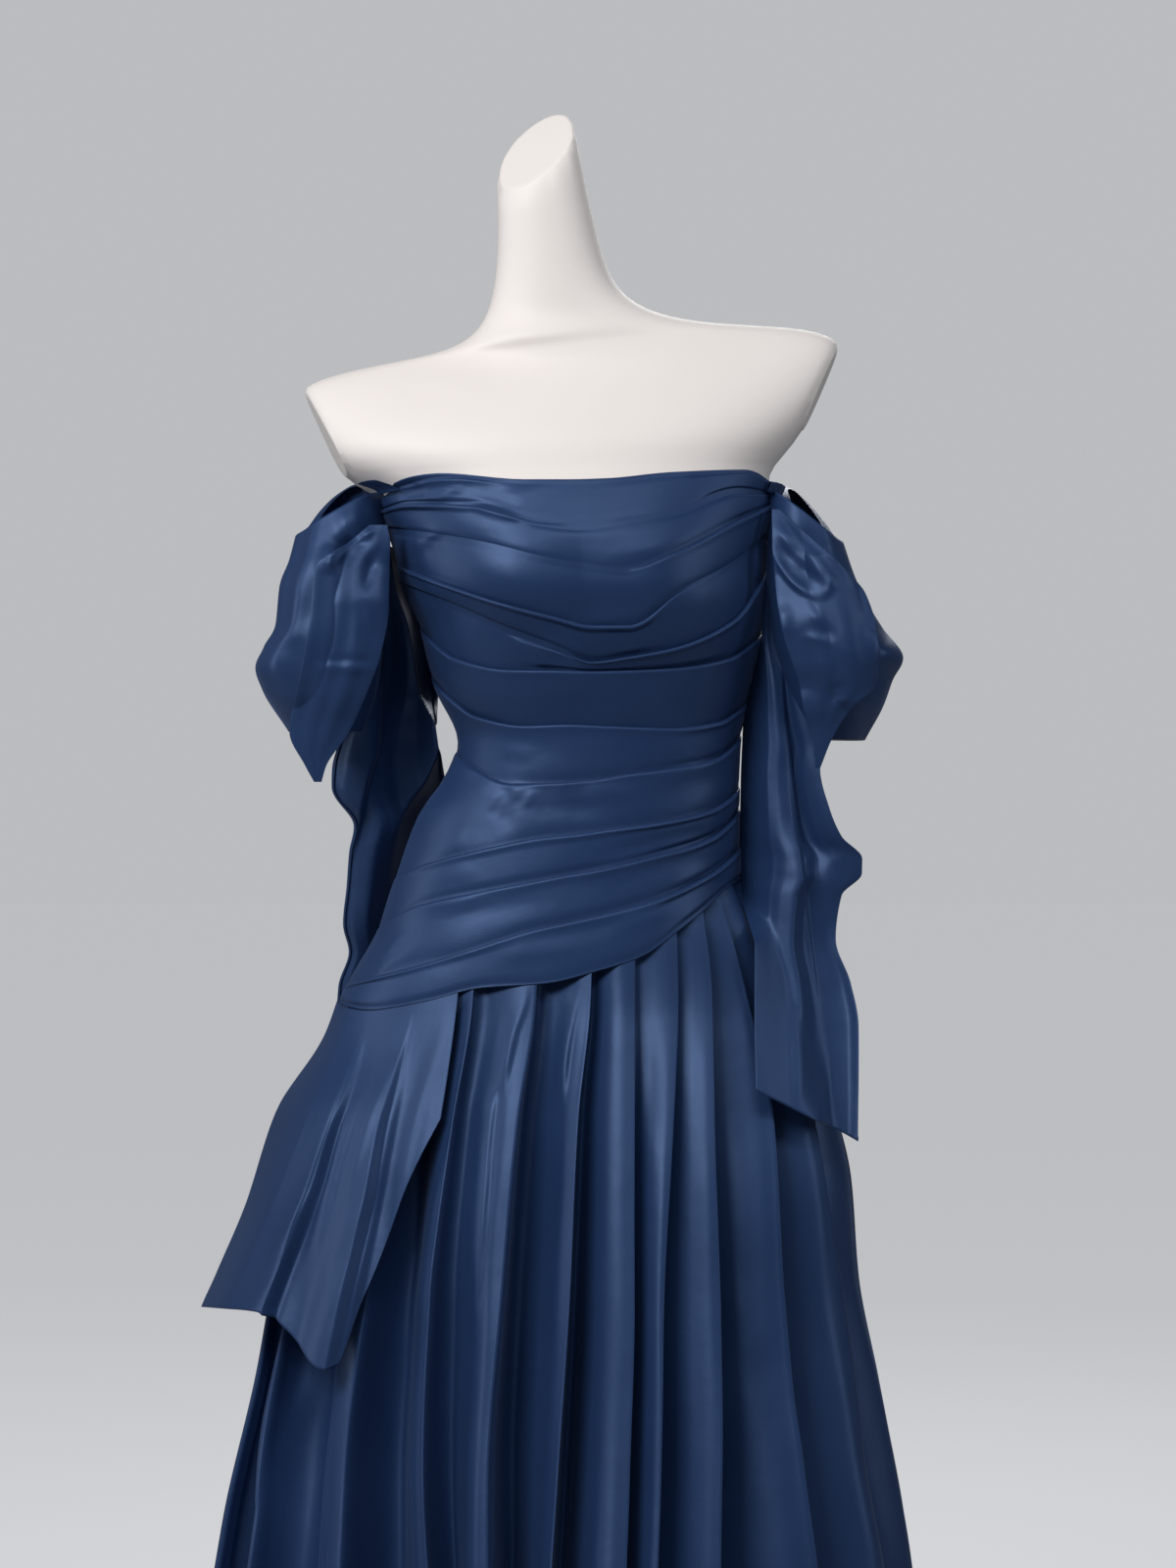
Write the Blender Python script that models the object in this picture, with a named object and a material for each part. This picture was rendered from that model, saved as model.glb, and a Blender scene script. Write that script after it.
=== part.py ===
"""A full-length satin prom dress on a limbless display form with a round stand.

Metres, +Z up. The wearer faces -Y, so the wearer's right is -X and the wearer's left is +X.
The origin is the centre of the stand's base, on the floor.
"""

from math import cos, pi, radians, sin, tau

import bmesh
import bpy
import numpy as np
from mathutils import Vector

# ---------------------------------------------------------------- driving sizes
SEAM_GAP = 0.0003  # between two pieces that are sewn together
RIM_GAP = 0.0009  # between the bodice's lower edge and the skirt's upper edge
CLOTH = 0.0018  # a wall of cloth
ROUNDNESS = 2.2  # exponent of the body's oval: 2 is an ellipse, more is squarer

BODICE_INSIDE = -0.0030  # measured outward from the outline that the tables give
BODICE_OUTSIDE = -0.0012
FORM_INSIDE = -0.0050
SKIRT_TOP = -0.0010
HEM_HEIGHT = 0.012

# The dress's outline: height, right side x, left side x, depth in front, depth behind
BODY = (
    (1.338, -0.209, 0.184, 0.097, 0.099),
    (1.312, -0.199, 0.168, 0.107, 0.102),
    (1.300, -0.169, 0.162, 0.111, 0.101),
    (1.285, -0.163, 0.160, 0.117, 0.101),
    (1.265, -0.154, 0.156, 0.124, 0.100),
    (1.225, -0.144, 0.153, 0.128, 0.098),
    (1.193, -0.130, 0.151, 0.121, 0.096),
    (1.145, -0.118, 0.141, 0.104, 0.092),
    (1.100, -0.099, 0.133, 0.090, 0.088),
    (1.073, -0.108, 0.132, 0.091, 0.090),
    (1.041, -0.130, 0.132, 0.096, 0.097),
    (0.989, -0.150, 0.134, 0.106, 0.112),
    (0.945, -0.165, 0.154, 0.116, 0.122),
    (0.888, -0.196, 0.178, 0.128, 0.134),
    (0.857, -0.204, 0.191, 0.138, 0.144),
    (0.809, -0.218, 0.208, 0.154, 0.162),
    (0.743, -0.234, 0.224, 0.174, 0.186),
    (0.665, -0.250, 0.230, 0.194, 0.212),
    (0.585, -0.264, 0.245, 0.212, 0.236),
    (0.477, -0.289, 0.266, 0.238, 0.266),
    (0.426, -0.298, 0.273, 0.250, 0.280),
    (0.012, -0.372, 0.335, 0.338, 0.376),
)
BUST = {"height": 1.226, "apart": 0.066, "wide": 0.048, "tall": 0.046, "stands_out": 0.009}

# The waist seam in front: share of the way from the right side to the left, height
WAIST_SEAM = (
    (0.000, 0.888),
    (0.070, 0.885),
    (0.190, 0.893),
    (0.310, 0.905),
    (0.455, 0.909),
    (0.560, 0.918),
    (0.666, 0.929),
    (0.770, 0.949),
    (0.860, 0.965),
    (0.970, 0.985),
    (1.000, 0.989),
)

# The bodice's pleats: heights of each folded edge at these shares of the way across,
# and how far the edge stands out there, in millimetres
PLEAT_ACROSS = (0.0, 0.1, 0.25, 0.4, 0.5, 0.6, 0.75, 0.9, 1.0)
TOP_EDGE = (1.2945, 1.311, 1.319, 1.314, 1.314, 1.315, 1.320, 1.322, 1.307)
PLEATS = (
    # name, heights, stands out (mm)
    ("corner", (1.288, 1.294, 1.293, 1.279, 1.276, 1.280, 1.288, 1.305, 1.302), (3, 3, 3, 1, 0, 0, 0, 0, 0)),
    ("cowl", (1.273, 1.269, 1.261, 1.249, 1.243, 1.239, 1.256, 1.280, 1.296), (0, 0, 0, 0, 0, 0, 3, 3, 3)),
    ("swag", (1.245, 1.233, 1.215, 1.202, 1.195, 1.195, 1.221, 1.245, 1.269), (3, 4, 4, 4, 4, 4, 1, 0, 0)),
    ("under", (1.228, 1.215, 1.193, 1.176, 1.165, 1.169, 1.178, 1.200, 1.241), (0, 0, 0, 0, 3, 4, 4, 4, 4)),
    ("bust", (1.193, 1.168, 1.1585, 1.158, 1.1575, 1.158, 1.160, 1.168, 1.189), (4, 4, 3, 3, 3, 3, 3, 4, 4)),
    ("midriff", (1.153, 1.121, 1.113, 1.114, 1.113, 1.112, 1.111, 1.116, 1.132), (4, 4, 3, 3, 3, 3, 3, 4, 4)),
    ("waist", (1.091, 1.079, 1.066, 1.067, 1.069, 1.073, 1.078, 1.086, 1.105), (4, 5, 4, 4, 3, 3, 3, 4, 4)),
    ("high_hip", (0.988, 1.001, 1.013, 1.022, 1.025, 1.029, 1.035, 1.045, 1.063), (3, 4, 4, 4, 4, 4, 4, 4, 4)),
    ("mid_hip", (0.947, 0.966, 0.977, 0.986, 0.992, 0.997, 1.008, 1.022, 1.045), (3, 4, 4, 4, 4, 4, 4, 4, 4)),
    ("low_hip", (0.902, 0.912, 0.929, 0.946, 0.953, 0.960, 0.973, 0.993, 1.015), (3, 4, 4, 4, 4, 4, 4, 4, 4)),
)
PLEAT_LIP = 0.0014  # height of the small step above each folded edge
SLACK = {"share": 0.55, "least": 0.0006}  # between two folded edges the cloth stands out by this share
TOP_EDGE_RELIEF = 0.0008
SEAM_RELIEF = 0.0012
BACK_PLEATS = ("swag", "bust", "midriff", "waist", "high_hip", "mid_hip", "low_hip")
BACK_PLEAT_STANDS_OUT = 0.0022
BACK_EDGE_RELIEF = 0.0008
BACK_COLUMNS = 11
BODICE_COLUMNS = 24
BACK_TOP = {"side": 1.2945, "other_side": 1.307, "centre": 1.292}

# The skirt's pleats in front: x of each free fold at these heights
PLEAT_HEIGHTS = (0.012, 0.430, 0.534, 0.665, 0.801, 0.900, 0.985)
SKIRT_PLEATS = (
    # from the hem up to the waist seam
    (-0.340, -0.272, -0.258, -0.232, -0.192, -0.164, -0.160),
    (-0.240, -0.197, -0.192, -0.174, -0.154, -0.128, -0.124),
    (-0.140, -0.124, -0.128, -0.122, -0.104, -0.087, -0.084),
    (-0.084, -0.074, -0.074, -0.064, -0.050, -0.035, -0.032),
    (-0.032, -0.025, -0.018, -0.008, -0.001, 0.010, 0.012),
    (0.040, 0.038, 0.042, 0.046, 0.046, 0.046, 0.046),
    (0.100, 0.064, 0.067, 0.070, 0.078, 0.082, 0.079),
    (0.152, 0.118, 0.118, 0.117, 0.112, 0.110, 0.100),
    (0.232, 0.200, 0.186, 0.170, 0.160, 0.138, 0.114),
    (0.300, 0.252, 0.236, 0.216, 0.194, 0.160, 0.126),
)
BACK_PLEAT_COUNT = 9
# Across one pleat, from a free fold to the next: share of the width, share of the depth
PLEAT_PROFILE = ((0.00, 0.00), (0.17, 1.00), (0.46, 0.52), (0.76, 0.12))
# Depth of the skirt's pleats: height, depth
PLEAT_DEPTH = (
    (0.012, 0.046),
    (0.430, 0.036),
    (0.600, 0.028),
    (0.760, 0.019),
    (0.850, 0.009),
    (0.990, 0.002),
)
SEAM_ROUNDS = 12  # a column's top follows the slanting seam, so it is found step by step
BEHIND = 1e-9  # a side seam's turn, just behind the side
SKIRT_ROWS = (0.0, 0.025, 0.07, 0.13, 0.21, 0.30, 0.41, 0.54, 0.68, 0.84, 1.0)

# The hip drape's columns from its inner edge round to the back: x at the seam, x at the hem,
# height of the hem, share of the flare, how far it stands out
DRAPE_FRONT = (
    (-0.094, -0.112, 0.793, 0.00, 0.0022),
    (-0.106, -0.138, 0.740, 0.00, 0.0022),
    (-0.124, -0.172, 0.652, 0.05, 0.0020),
    (-0.134, -0.199, 0.590, 0.15, 0.0070),
    (-0.150, -0.226, 0.611, 0.35, 0.0040),
    (-0.164, -0.240, 0.628, 0.50, 0.0030),
    (-0.170, -0.250, 0.638, 0.60, 0.0080),
    (-0.184, -0.282, 0.640, 0.85, 0.0040),
)
# round the side and the back: degrees past the side, height of the hem, share of the flare
DRAPE_BACK = (
    (0, 0.637, 1.0),
    (14, 0.652, 0.95),
    (28, 0.690, 0.8),
    (42, 0.740, 0.6),
    (56, 0.795, 0.4),
    (68, 0.850, 0.25),
)
# how far it flares out: height, distance
DRAPE_FLARE = (
    (0.580, 0.060),
    (0.637, 0.049),
    (0.665, 0.041),
    (0.730, 0.027),
    (0.789, 0.023),
    (0.825, 0.016),
    (0.862, 0.009),
    (0.990, 0.001),
)
DRAPE_ROWS = 9
DRAPE_GAP = 0.0004
DRAPE_STANDS_OUT_BEHIND = 0.0020
DRAPE_SPREAD = 1.15  # above 1, the columns part faster towards the hem
DRAPE_LOOSE_AT_SEAM = 0.25

# The sleeves: x and height at the outer side, x and height at the inner side, depth in front, behind
SLEEVE_RIGHT = (
    (-0.2304, 1.264, -0.1665, 1.293, 0.060, 0.062),
    (-0.2344, 1.245, -0.1665, 1.270, 0.068, 0.068),
    (-0.2416, 1.225, -0.1666, 1.245, 0.074, 0.074),
    (-0.2456, 1.193, -0.1660, 1.210, 0.078, 0.078),
    (-0.2560, 1.176, -0.1660, 1.185, 0.080, 0.080),
    (-0.2624, 1.160, -0.1680, 1.160, 0.078, 0.080),
    (-0.2560, 1.140, -0.1730, 1.136, 0.070, 0.074),
    (-0.2360, 1.108, -0.1850, 1.108, 0.050, 0.056),
)
SLEEVE_LEFT = (
    (0.2168, 1.260, 0.1640, 1.296, 0.060, 0.062),
    (0.2256, 1.234, 0.1630, 1.270, 0.068, 0.068),
    (0.2360, 1.211, 0.1620, 1.240, 0.074, 0.074),
    (0.2472, 1.191, 0.1630, 1.210, 0.078, 0.080),
    (0.2632, 1.168, 0.1660, 1.180, 0.080, 0.084),
    (0.2544, 1.150, 0.1740, 1.155, 0.076, 0.080),
    (0.2472, 1.128, 0.1820, 1.130, 0.068, 0.074),
    (0.2336, 1.101, 0.1920, 1.102, 0.048, 0.056),
)
SLEEVE_COLUMNS = 24
SLEEVE_ROUNDNESS = 2.3
RIM_LIFT = {"front": 0.004, "back": 0.014}
SLEEVE_GATHERS = {"count": 9, "height": 0.0028}

# The fans: height, x of the side away from the body, x of the side near it, y at mid width
FAN_RIGHT = (
    (1.2720, -0.1650, -0.1590, -0.0700),
    (1.2570, -0.1840, -0.1545, -0.0745),
    (1.2370, -0.2088, -0.1536, -0.0802),
    (1.2070, -0.2112, -0.1528, -0.0880),
    (1.1670, -0.2168, -0.1568, -0.0885),
    (1.1430, -0.2224, -0.1656, -0.0840),
    (1.1070, -0.2304, -0.1824, -0.0720),
    (1.0800, -0.2180, -0.2010, -0.0650),
    (1.0670, -0.2110, -0.2050, -0.0620),
)
FAN_LEFT = (
    (1.2620, 0.1640, 0.1590, -0.0680),
    (1.2400, 0.2050, 0.1610, -0.0765),
    (1.2170, 0.2290, 0.1610, -0.0825),
    (1.1870, 0.2376, 0.1620, -0.0895),
    (1.1620, 0.2400, 0.1700, -0.0885),
    (1.1440, 0.2376, 0.1760, -0.0830),
    (1.1270, 0.2192, 0.1790, -0.0770),
    (1.1040, 0.2040, 0.1864, -0.0680),
    (1.0780, 0.1936, 0.1900, -0.0620),
)
FAN_COLUMNS = 9
FAN_RIDGES = {"count": 3, "height": 0.004, "full_from_width": 0.060}
FAN_CLEARANCE = 0.0055
FAN_CURVE = 0.0095  # how far a fan's two sides fall back behind its middle

# The tails: height, x of one side, x of the other, y where nothing holds it off
TAIL_RIGHT = (
    (1.2600, -0.1640, -0.1570, 0.000),
    (1.2280, -0.1648, -0.1500, 0.000),
    (1.1900, -0.1652, -0.1400, -0.004),
    (1.1450, -0.1640, -0.1230, 0.002),
    (1.1180, -0.1720, -0.1170, 0.006),
    (1.0990, -0.1840, -0.1150, 0.010),
    (1.0770, -0.2020, -0.1120, 0.012),
    (1.0630, -0.2024, -0.1104, 0.016),
    (1.0310, -0.1848, -0.1128, 0.028),
    (1.0090, -0.1896, -0.1184, 0.040),
    (0.9800, -0.1928, -0.1264, 0.056),
    (0.9470, -0.1968, -0.1328, 0.074),
    (0.9254, -0.1928, -0.1376, 0.088),
    (0.8942, -0.2030, -0.1456, 0.108),
    (0.8574, -0.2060, -0.1520, 0.130),
    (0.7854, -0.2050, -0.1610, 0.160),
)
TAIL_LEFT = (
    (1.2600, 0.1580, 0.1652, -0.036),
    (1.2300, 0.1560, 0.1625, -0.036),
    (1.1930, 0.1485, 0.1612, -0.035),
    (1.1450, 0.1470, 0.1700, -0.040),
    (1.1130, 0.1456, 0.1780, -0.041),
    (1.0950, 0.1448, 0.1880, -0.042),
    (1.0774, 0.1440, 0.1944, -0.043),
    (1.0454, 0.1432, 0.2016, -0.045),
    (1.0230, 0.1424, 0.2112, -0.047),
    (1.0054, 0.1424, 0.2280, -0.050),
    (0.9934, 0.1416, 0.2280, -0.052),
    (0.9758, 0.1416, 0.2120, -0.054),
    (0.9406, 0.1408, 0.2072, -0.058),
    (0.9062, 0.1400, 0.2184, -0.064),
    (0.8726, 0.1392, 0.2240, -0.072),
    (0.7820, 0.1400, 0.2220, -0.090),
)
TAIL_COLUMNS = 11
TAIL_ROWS = 17
TAIL_FOLDS = {"count": 3, "top": 0.002, "bottom": 0.011, "full_from_width": 0.060}
TAIL_CLEARANCE = {"at_knot": -0.0030, "where_wide": 0.015, "soft": 0.006}
TAIL_LEFT_HEM_RISE = 0.044

STRAP = {
    "height": 1.300,
    "wide": 0.020,
    "below": 0.007,
    "above": 0.0010,
    "off": 0.0034,
    "thick": 0.0015,
    "columns": 5,
    "rows": 4,
    "right_x": -0.150,
    "left_x": 0.152,
}

# The display form above the dress: height, tilt in degrees, right x, left x,
# depth in front, depth behind, y of the middle
FORM_UPPER = (
    (1.3122, 1.2, -0.1800, 0.1560, 0.0960, 0.0950, 0.000),
    (1.3382, 2.2, -0.2180, 0.1780, 0.0910, 0.0920, 0.002),
    (1.3718, 2.5, -0.2340, 0.2110, 0.0740, 0.0830, 0.004),
    (1.3980, 4.0, -0.2370, 0.2240, 0.0560, 0.0720, 0.008),
    (1.4120, 5.3, -0.2300, 0.2230, 0.0440, 0.0600, 0.010),
    (1.4210, 5.4, -0.2060, 0.1980, 0.0360, 0.0500, 0.011),
    (1.4250, 6.0, -0.1560, 0.1440, 0.0380, 0.0480, 0.011),
    (1.4270, 6.5, -0.1060, 0.0960, 0.0440, 0.0470, 0.011),
    (1.4366, 11.8, -0.0808, 0.0416, 0.0470, 0.0470, 0.011),
    (1.4590, 12.2, -0.0680, 0.0248, 0.0440, 0.0440, 0.010),
    (1.4934, 4.0, -0.0632, 0.0180, 0.0410, 0.0410, 0.006),
    (1.5382, 3.0, -0.0648, 0.0090, 0.0375, 0.0375, 0.000),
    (1.6080, 3.0, -0.0680, -0.0056, 0.0335, 0.0335, -0.007),
    (1.6400, 3.0, -0.0695, -0.0115, 0.0320, 0.0320, -0.010),
)
FORM_BOTTOM = 0.800
FORM_TOP_OF_TORSO = 1.296
FORM_RINGS = 22
FORM_COLUMNS = 32
FORM_NARROWING = 0.25  # below the waist seam, per metre of height
FORM_WAIST = {"height": 1.085, "tall": 0.045, "slimmer": 0.004}
FORM_CHEST = {"height": 1.270, "tall": 0.050, "slimmer": 0.002}
# The three flat cuts: a point on each, and its slope
NECK_CUT = {"point": (-0.0336, -0.004, 1.5834), "rise_x": 0.75, "rise_y": 0.95, "above": 1.47}
ARM_CUTS = (
    {"top": (-0.2262, 1.392), "foot": (-0.1860, 1.3086), "side": -1},
    {"top": (0.2160, 1.431), "foot": (0.1610, 1.3000), "side": 1},
)
ARM_CUT_FACES_FRONT = 0.10

POLE_RADIUS = 0.0125
BASE_RADIUS = 0.190
BASE_THICK = 0.012
BASE_FOOT = 0.001  # chamfer where the base meets the floor
BASE_ROUND = 0.003
HUB = {"radius": 0.026, "top_radius": 0.021, "height": 0.034, "fillet": 0.006}
FLANGE = {"radius": 0.045, "thick": 0.006, "neck": 0.012}
TURNED_SIDES = 40

ZIP = {
    "above_seam": 0.004,
    "half_gap": 0.0040,
    "half_tape": 0.0035,
    "inside": -0.0028,
    "outside": -0.0018,
    "rows": 28,
}
ZIP_LINE = ((0.930, -0.006), (1.010, 0.000), (1.110, 0.007), (1.210, 0.006), (1.320, 0.000))
SLIDER = {"height": 1.278, "wide": 0.0064, "tall": 0.0090, "back": -0.0015, "front": 0.0020}
EAR = {"inner": 0.0017, "outer": 0.0027, "half_tall": 0.0014, "reach": 0.0046}
PULL = {"y": 0.0034, "above_hinge": 0.0009, "half_wide": 0.0028, "long": 0.017, "thick": 0.0010}
# half of the pull's outline, top to bottom: share of its half width, share of its length
PULL_OUTLINE = ((0.46, 0.15), (0.58, 0.30), (0.86, 0.62), (1.0, 0.78), (0.8, 0.92), (0.35, 1.0))

NAVY = (0.038, 0.072, 0.165)
NAVY_DARK = (0.020, 0.036, 0.085)
FORM_WHITE = (0.84, 0.80, 0.77)
STEEL = (0.62, 0.62, 0.64)


# ---------------------------------------------------------------- small tools
def smooth(knots, values, at):
    """A smooth curve through the knots that doesn't overshoot them. at is a number or an array."""
    order = np.argsort(knots)
    knots = np.asarray(knots, float)[order]
    values = np.asarray(values, float)[order]
    step = np.diff(knots)
    rise = np.diff(values) / step
    slope = np.zeros(len(values))
    slope[0] = rise[0]
    slope[-1] = rise[-1]
    product = rise[1:] * rise[:-1]
    total = rise[1:] + rise[:-1]
    same_way = product > 0
    slope[1:-1][same_way] = 2 * product[same_way] / total[same_way]
    at = np.clip(np.asarray(at, float), knots[0], knots[-1])
    i = np.clip(np.searchsorted(knots, at) - 1, 0, len(step) - 1)
    s = (at - knots[i]) / step[i]
    return (
        (1 + 2 * s) * (1 - s) ** 2 * values[i]
        + s * (1 - s) ** 2 * step[i] * slope[i]
        + s**2 * (3 - 2 * s) * values[i + 1]
        + s**2 * (s - 1) * step[i] * slope[i + 1]
    )


def column(table, index, at):
    """One column of a table, as a smooth curve over its first column."""
    return smooth([row[0] for row in table], [row[index] for row in table], at)


def power(value, exponent):
    return np.sign(value) * np.abs(value) ** exponent


def body_point(turn, z, out):
    """A point of the outline, moved out. turn is 0 at the left side, then front, then pi at the right."""
    turn, z, out = np.broadcast_arrays(np.asarray(turn, float), np.asarray(z, float), np.asarray(out, float))
    right, left = column(BODY, 1, z), column(BODY, 2, z)
    in_front = np.sin(turn) >= 0
    depth = np.where(in_front, column(BODY, 3, z), column(BODY, 4, z))
    wide = (left - right) / 2
    middle = (left + right) / 2
    across = power(np.cos(turn), 2 / ROUNDNESS)
    along = np.abs(power(np.sin(turn), 2 / ROUNDNESS))
    x = middle + (wide + out) * across
    apart = (np.abs(x - middle) - BUST["apart"]) / BUST["wide"]
    above = (z - BUST["height"]) / BUST["tall"]
    swell = np.where(in_front, BUST["stands_out"] * np.exp(-(apart**2) - above**2), 0)
    y = SEAM_GAP / 2 + (depth + out + swell - SEAM_GAP / 2) * along
    return np.stack([x, np.where(in_front, -y, y), z], axis=-1)


def turn_at(share):
    """The turn in front that is this share of the way from the right side to the left."""
    return np.arccos(np.clip(power(2 * np.asarray(share, float) - 1, ROUNDNESS / 2), -1, 1))


def turn_at_x(x, z, out=0.0):
    right, left = column(BODY, 1, z), column(BODY, 2, z)
    return turn_at((x - right + out) / (left - right + 2 * out))


def share_at(turn):
    return (1 + power(np.cos(turn), 2 / ROUNDNESS)) / 2


def body_depth(x, z, out, column_index):
    """How far the outline, moved out, reaches in front (3) or behind (4) at this x; 0 beyond its sides."""
    right, left = column(BODY, 1, z), column(BODY, 2, z)
    u = np.clip(np.abs(2 * x - left - right) / (left - right + 2 * out), 0, 1)
    return (column(BODY, column_index, z) + out) * (1 - u**ROUNDNESS) ** (1 / ROUNDNESS)


def seam_height(turn):
    """Height of the waist seam at a turn, in front and behind."""
    share = share_at(turn)
    in_front = column(WAIST_SEAM, 1, share)
    behind = WAIST_SEAM[0][1] + (WAIST_SEAM[-1][1] - WAIST_SEAM[0][1]) * share
    return np.where(np.sin(turn) >= 0, in_front, behind)


def normals_of(grid, closed):
    """Unit normals at the points of a grid, from its rows and columns."""
    down = np.gradient(grid, axis=0)
    if closed:
        along = np.roll(grid, -1, axis=1) - np.roll(grid, 1, axis=1)
    else:
        ahead = np.diff(grid, axis=1)
        unit = ahead / np.maximum(np.linalg.norm(ahead, axis=2, keepdims=True), 1e-9)
        along = np.concatenate([unit[:, :1], unit[:, 1:] + unit[:, :-1], unit[:, -1:]], axis=1)
    normal = np.cross(down, along)
    return normal / np.maximum(np.linalg.norm(normal, axis=2, keepdims=True), 1e-12)


def thicken(grid, thickness, closed=False):
    """The grid moved along its normals by a thickness, whose sign picks the side."""
    return grid + thickness * normals_of(grid, closed)


def material(name, colour, roughness, metallic=0.0):
    made = bpy.data.materials.new(name)
    made.use_nodes = True
    shader = made.node_tree.nodes["Principled BSDF"]
    shader.inputs["Base Color"].default_value = (*colour, 1)
    shader.inputs["Roughness"].default_value = roughness
    shader.inputs["Metallic"].default_value = metallic
    return made


def add_object(name, mesh_maker, finish, parent, place=(0, 0, 0)):
    """Makes the named object from a bmesh that faces out, under an empty."""
    bmesh.ops.recalc_face_normals(mesh_maker, faces=mesh_maker.faces)
    mesh = bpy.data.meshes.new(name)
    mesh_maker.to_mesh(mesh)
    mesh_maker.free()
    mesh.materials.append(finish)
    mesh.shade_smooth()
    mesh.set_sharp_from_angle(angle=radians(50))
    made = bpy.data.objects.new(name, mesh)
    bpy.context.scene.collection.objects.link(made)
    made.parent = parent
    made.location = place
    return made


def grid_faces(bm, points, closed):
    """Vertices of a grid and its quads. Returns the rows of vertices."""
    rows = [[bm.verts.new(point) for point in row] for row in points]
    count = len(rows[0])
    for upper, lower in zip(rows, rows[1:]):
        for i in range(count if closed else count - 1):
            j = (i + 1) % count
            bm.faces.new((upper[i], upper[j], lower[j], lower[i]))
    return rows


def wall(name, outside, inside, finish, parent, closed=False):
    """A closed solid between two grids of the same size: a tube wall if closed, or else a sheet."""
    bm = bmesh.new()
    outer = grid_faces(bm, outside, closed)
    inner = grid_faces(bm, inside, closed)
    count = len(outer[0])
    for end in (0, -1):
        for i in range(count if closed else count - 1):
            j = (i + 1) % count
            bm.faces.new((outer[end][i], outer[end][j], inner[end][j], inner[end][i]))
        if closed:
            continue
        for k in range(len(outer) - 1):
            bm.faces.new((outer[k][end], outer[k + 1][end], inner[k + 1][end], inner[k][end]))
    return add_object(name, bm, finish, parent)


def turned(name, profile, finish, parent):
    """A solid turned about Z from a profile of radius and height, bottom to top."""
    bm = bmesh.new()
    angles = [tau * k / TURNED_SIDES for k in range(TURNED_SIDES)]
    rings = [[(r * cos(a), r * sin(a), z) for a in angles] for r, z in profile]
    rows = grid_faces(bm, rings, closed=True)
    bm.faces.new(rows[0])
    bm.faces.new(rows[-1])
    return add_object(name, bm, finish, parent)


# ---------------------------------------------------------------- bodice
def halfway(row, height):
    """A row of slack cloth between a row and the height of the next one."""
    return (row[0] + height) / 2, row[1] * SLACK["share"] + SLACK["least"]


def bodice_front(finish, parent):
    """The front panel. Each folded edge is a row that stands out, under a row that lies in."""
    turn = np.linspace(pi, 0, BODICE_COLUMNS)
    share = share_at(turn)
    rows = [(smooth(PLEAT_ACROSS, TOP_EDGE, share), np.full(BODICE_COLUMNS, TOP_EDGE_RELIEF))]
    for _, heights, stands_out in PLEATS:
        edge = smooth(PLEAT_ACROSS, heights, share)
        rows.append(halfway(rows[-1], edge + PLEAT_LIP))
        rows.append((edge + PLEAT_LIP, np.zeros(BODICE_COLUMNS)))
        rows.append((edge, smooth(PLEAT_ACROSS, stands_out, share) / 1000))
    bottom = seam_height(turn) + RIM_GAP
    rows.append(halfway(rows[-1], bottom))
    rows.append((bottom, np.full(BODICE_COLUMNS, SEAM_RELIEF)))
    z = np.array([row[0] for row in rows])
    relief = np.array([row[1] for row in rows])
    outside = body_point(turn[None, :], z, BODICE_OUTSIDE + relief)
    inside = body_point(turn[None, :], z, BODICE_INSIDE)
    return wall("bodice_front", outside, inside, finish, parent)


def back_rows(turns):
    """Heights and reliefs of a back panel's rows; turns has a row for each."""
    names = [pleat for pleat in PLEATS if pleat[0] in BACK_PLEATS]
    share = share_at(turns)
    side = np.where(share[0] < 0.5, BACK_TOP["side"], BACK_TOP["other_side"])
    heights = [side + (BACK_TOP["centre"] - side) * np.abs(np.sin(turns[0]))]
    relief = [BACK_EDGE_RELIEF]
    for _, across, _ in names:
        row = len(heights)
        lip = across[0] + (across[-1] - across[0]) * share[row + 1] + PLEAT_LIP
        heights += [(heights[-1] + lip) / 2, lip]
        heights.append(across[0] + (across[-1] - across[0]) * share[row + 2])
        relief += [BACK_EDGE_RELIEF, 0.0, BACK_PLEAT_STANDS_OUT]
    bottom = seam_height(turns[-1]) + RIM_GAP
    heights += [(heights[-1] + bottom) / 2, bottom]
    relief += [BACK_EDGE_RELIEF, BACK_EDGE_RELIEF]
    return np.array(heights), np.array(relief)[:, None]


def bodice_back(name, side_turn, finish, parent):
    """A back panel from a side seam to the zip, where its edge keeps its distance from the zip's line."""
    even = np.linspace(0, 1, BACK_COLUMNS)[None, :]
    aside = -ZIP["half_gap"] if side_turn < 1.5 * pi else ZIP["half_gap"]
    z = np.full((3 * len(BACK_PLEATS) + 3, BACK_COLUMNS), 1.1)
    for _ in range(6):
        edge = tau - turn_at_x(zip_x(z[:, -1:]) + aside, z[:, -1:])
        turns = side_turn + (edge - side_turn) * even
        z, relief = back_rows(turns)
    outside = body_point(turns, z, BODICE_OUTSIDE + relief)
    inside = body_point(turns, z, BODICE_INSIDE)
    return wall(name, outside, inside, finish, parent)


# ---------------------------------------------------------------- zip
def zip_x(z):
    return column(ZIP_LINE, 1, z)


def back_middle(z, out):
    x = zip_x(z)
    return x, body_depth(x, z, out, 4)


def zip_tape(finish, parent):
    bottom = float(seam_height(1.5 * pi)) + ZIP["above_seam"]
    z = np.linspace(BACK_TOP["centre"], bottom, ZIP["rows"])[:, None]
    aside = np.array([-1, 0, 1]) * ZIP["half_tape"]
    grids = []
    for out in (ZIP["outside"], ZIP["inside"]):
        x, y = back_middle(z, out)
        grids.append(np.stack(np.broadcast_arrays(x + aside, y, z), axis=-1))
    return wall("zip_tape", grids[0], grids[1], finish, parent)


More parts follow.
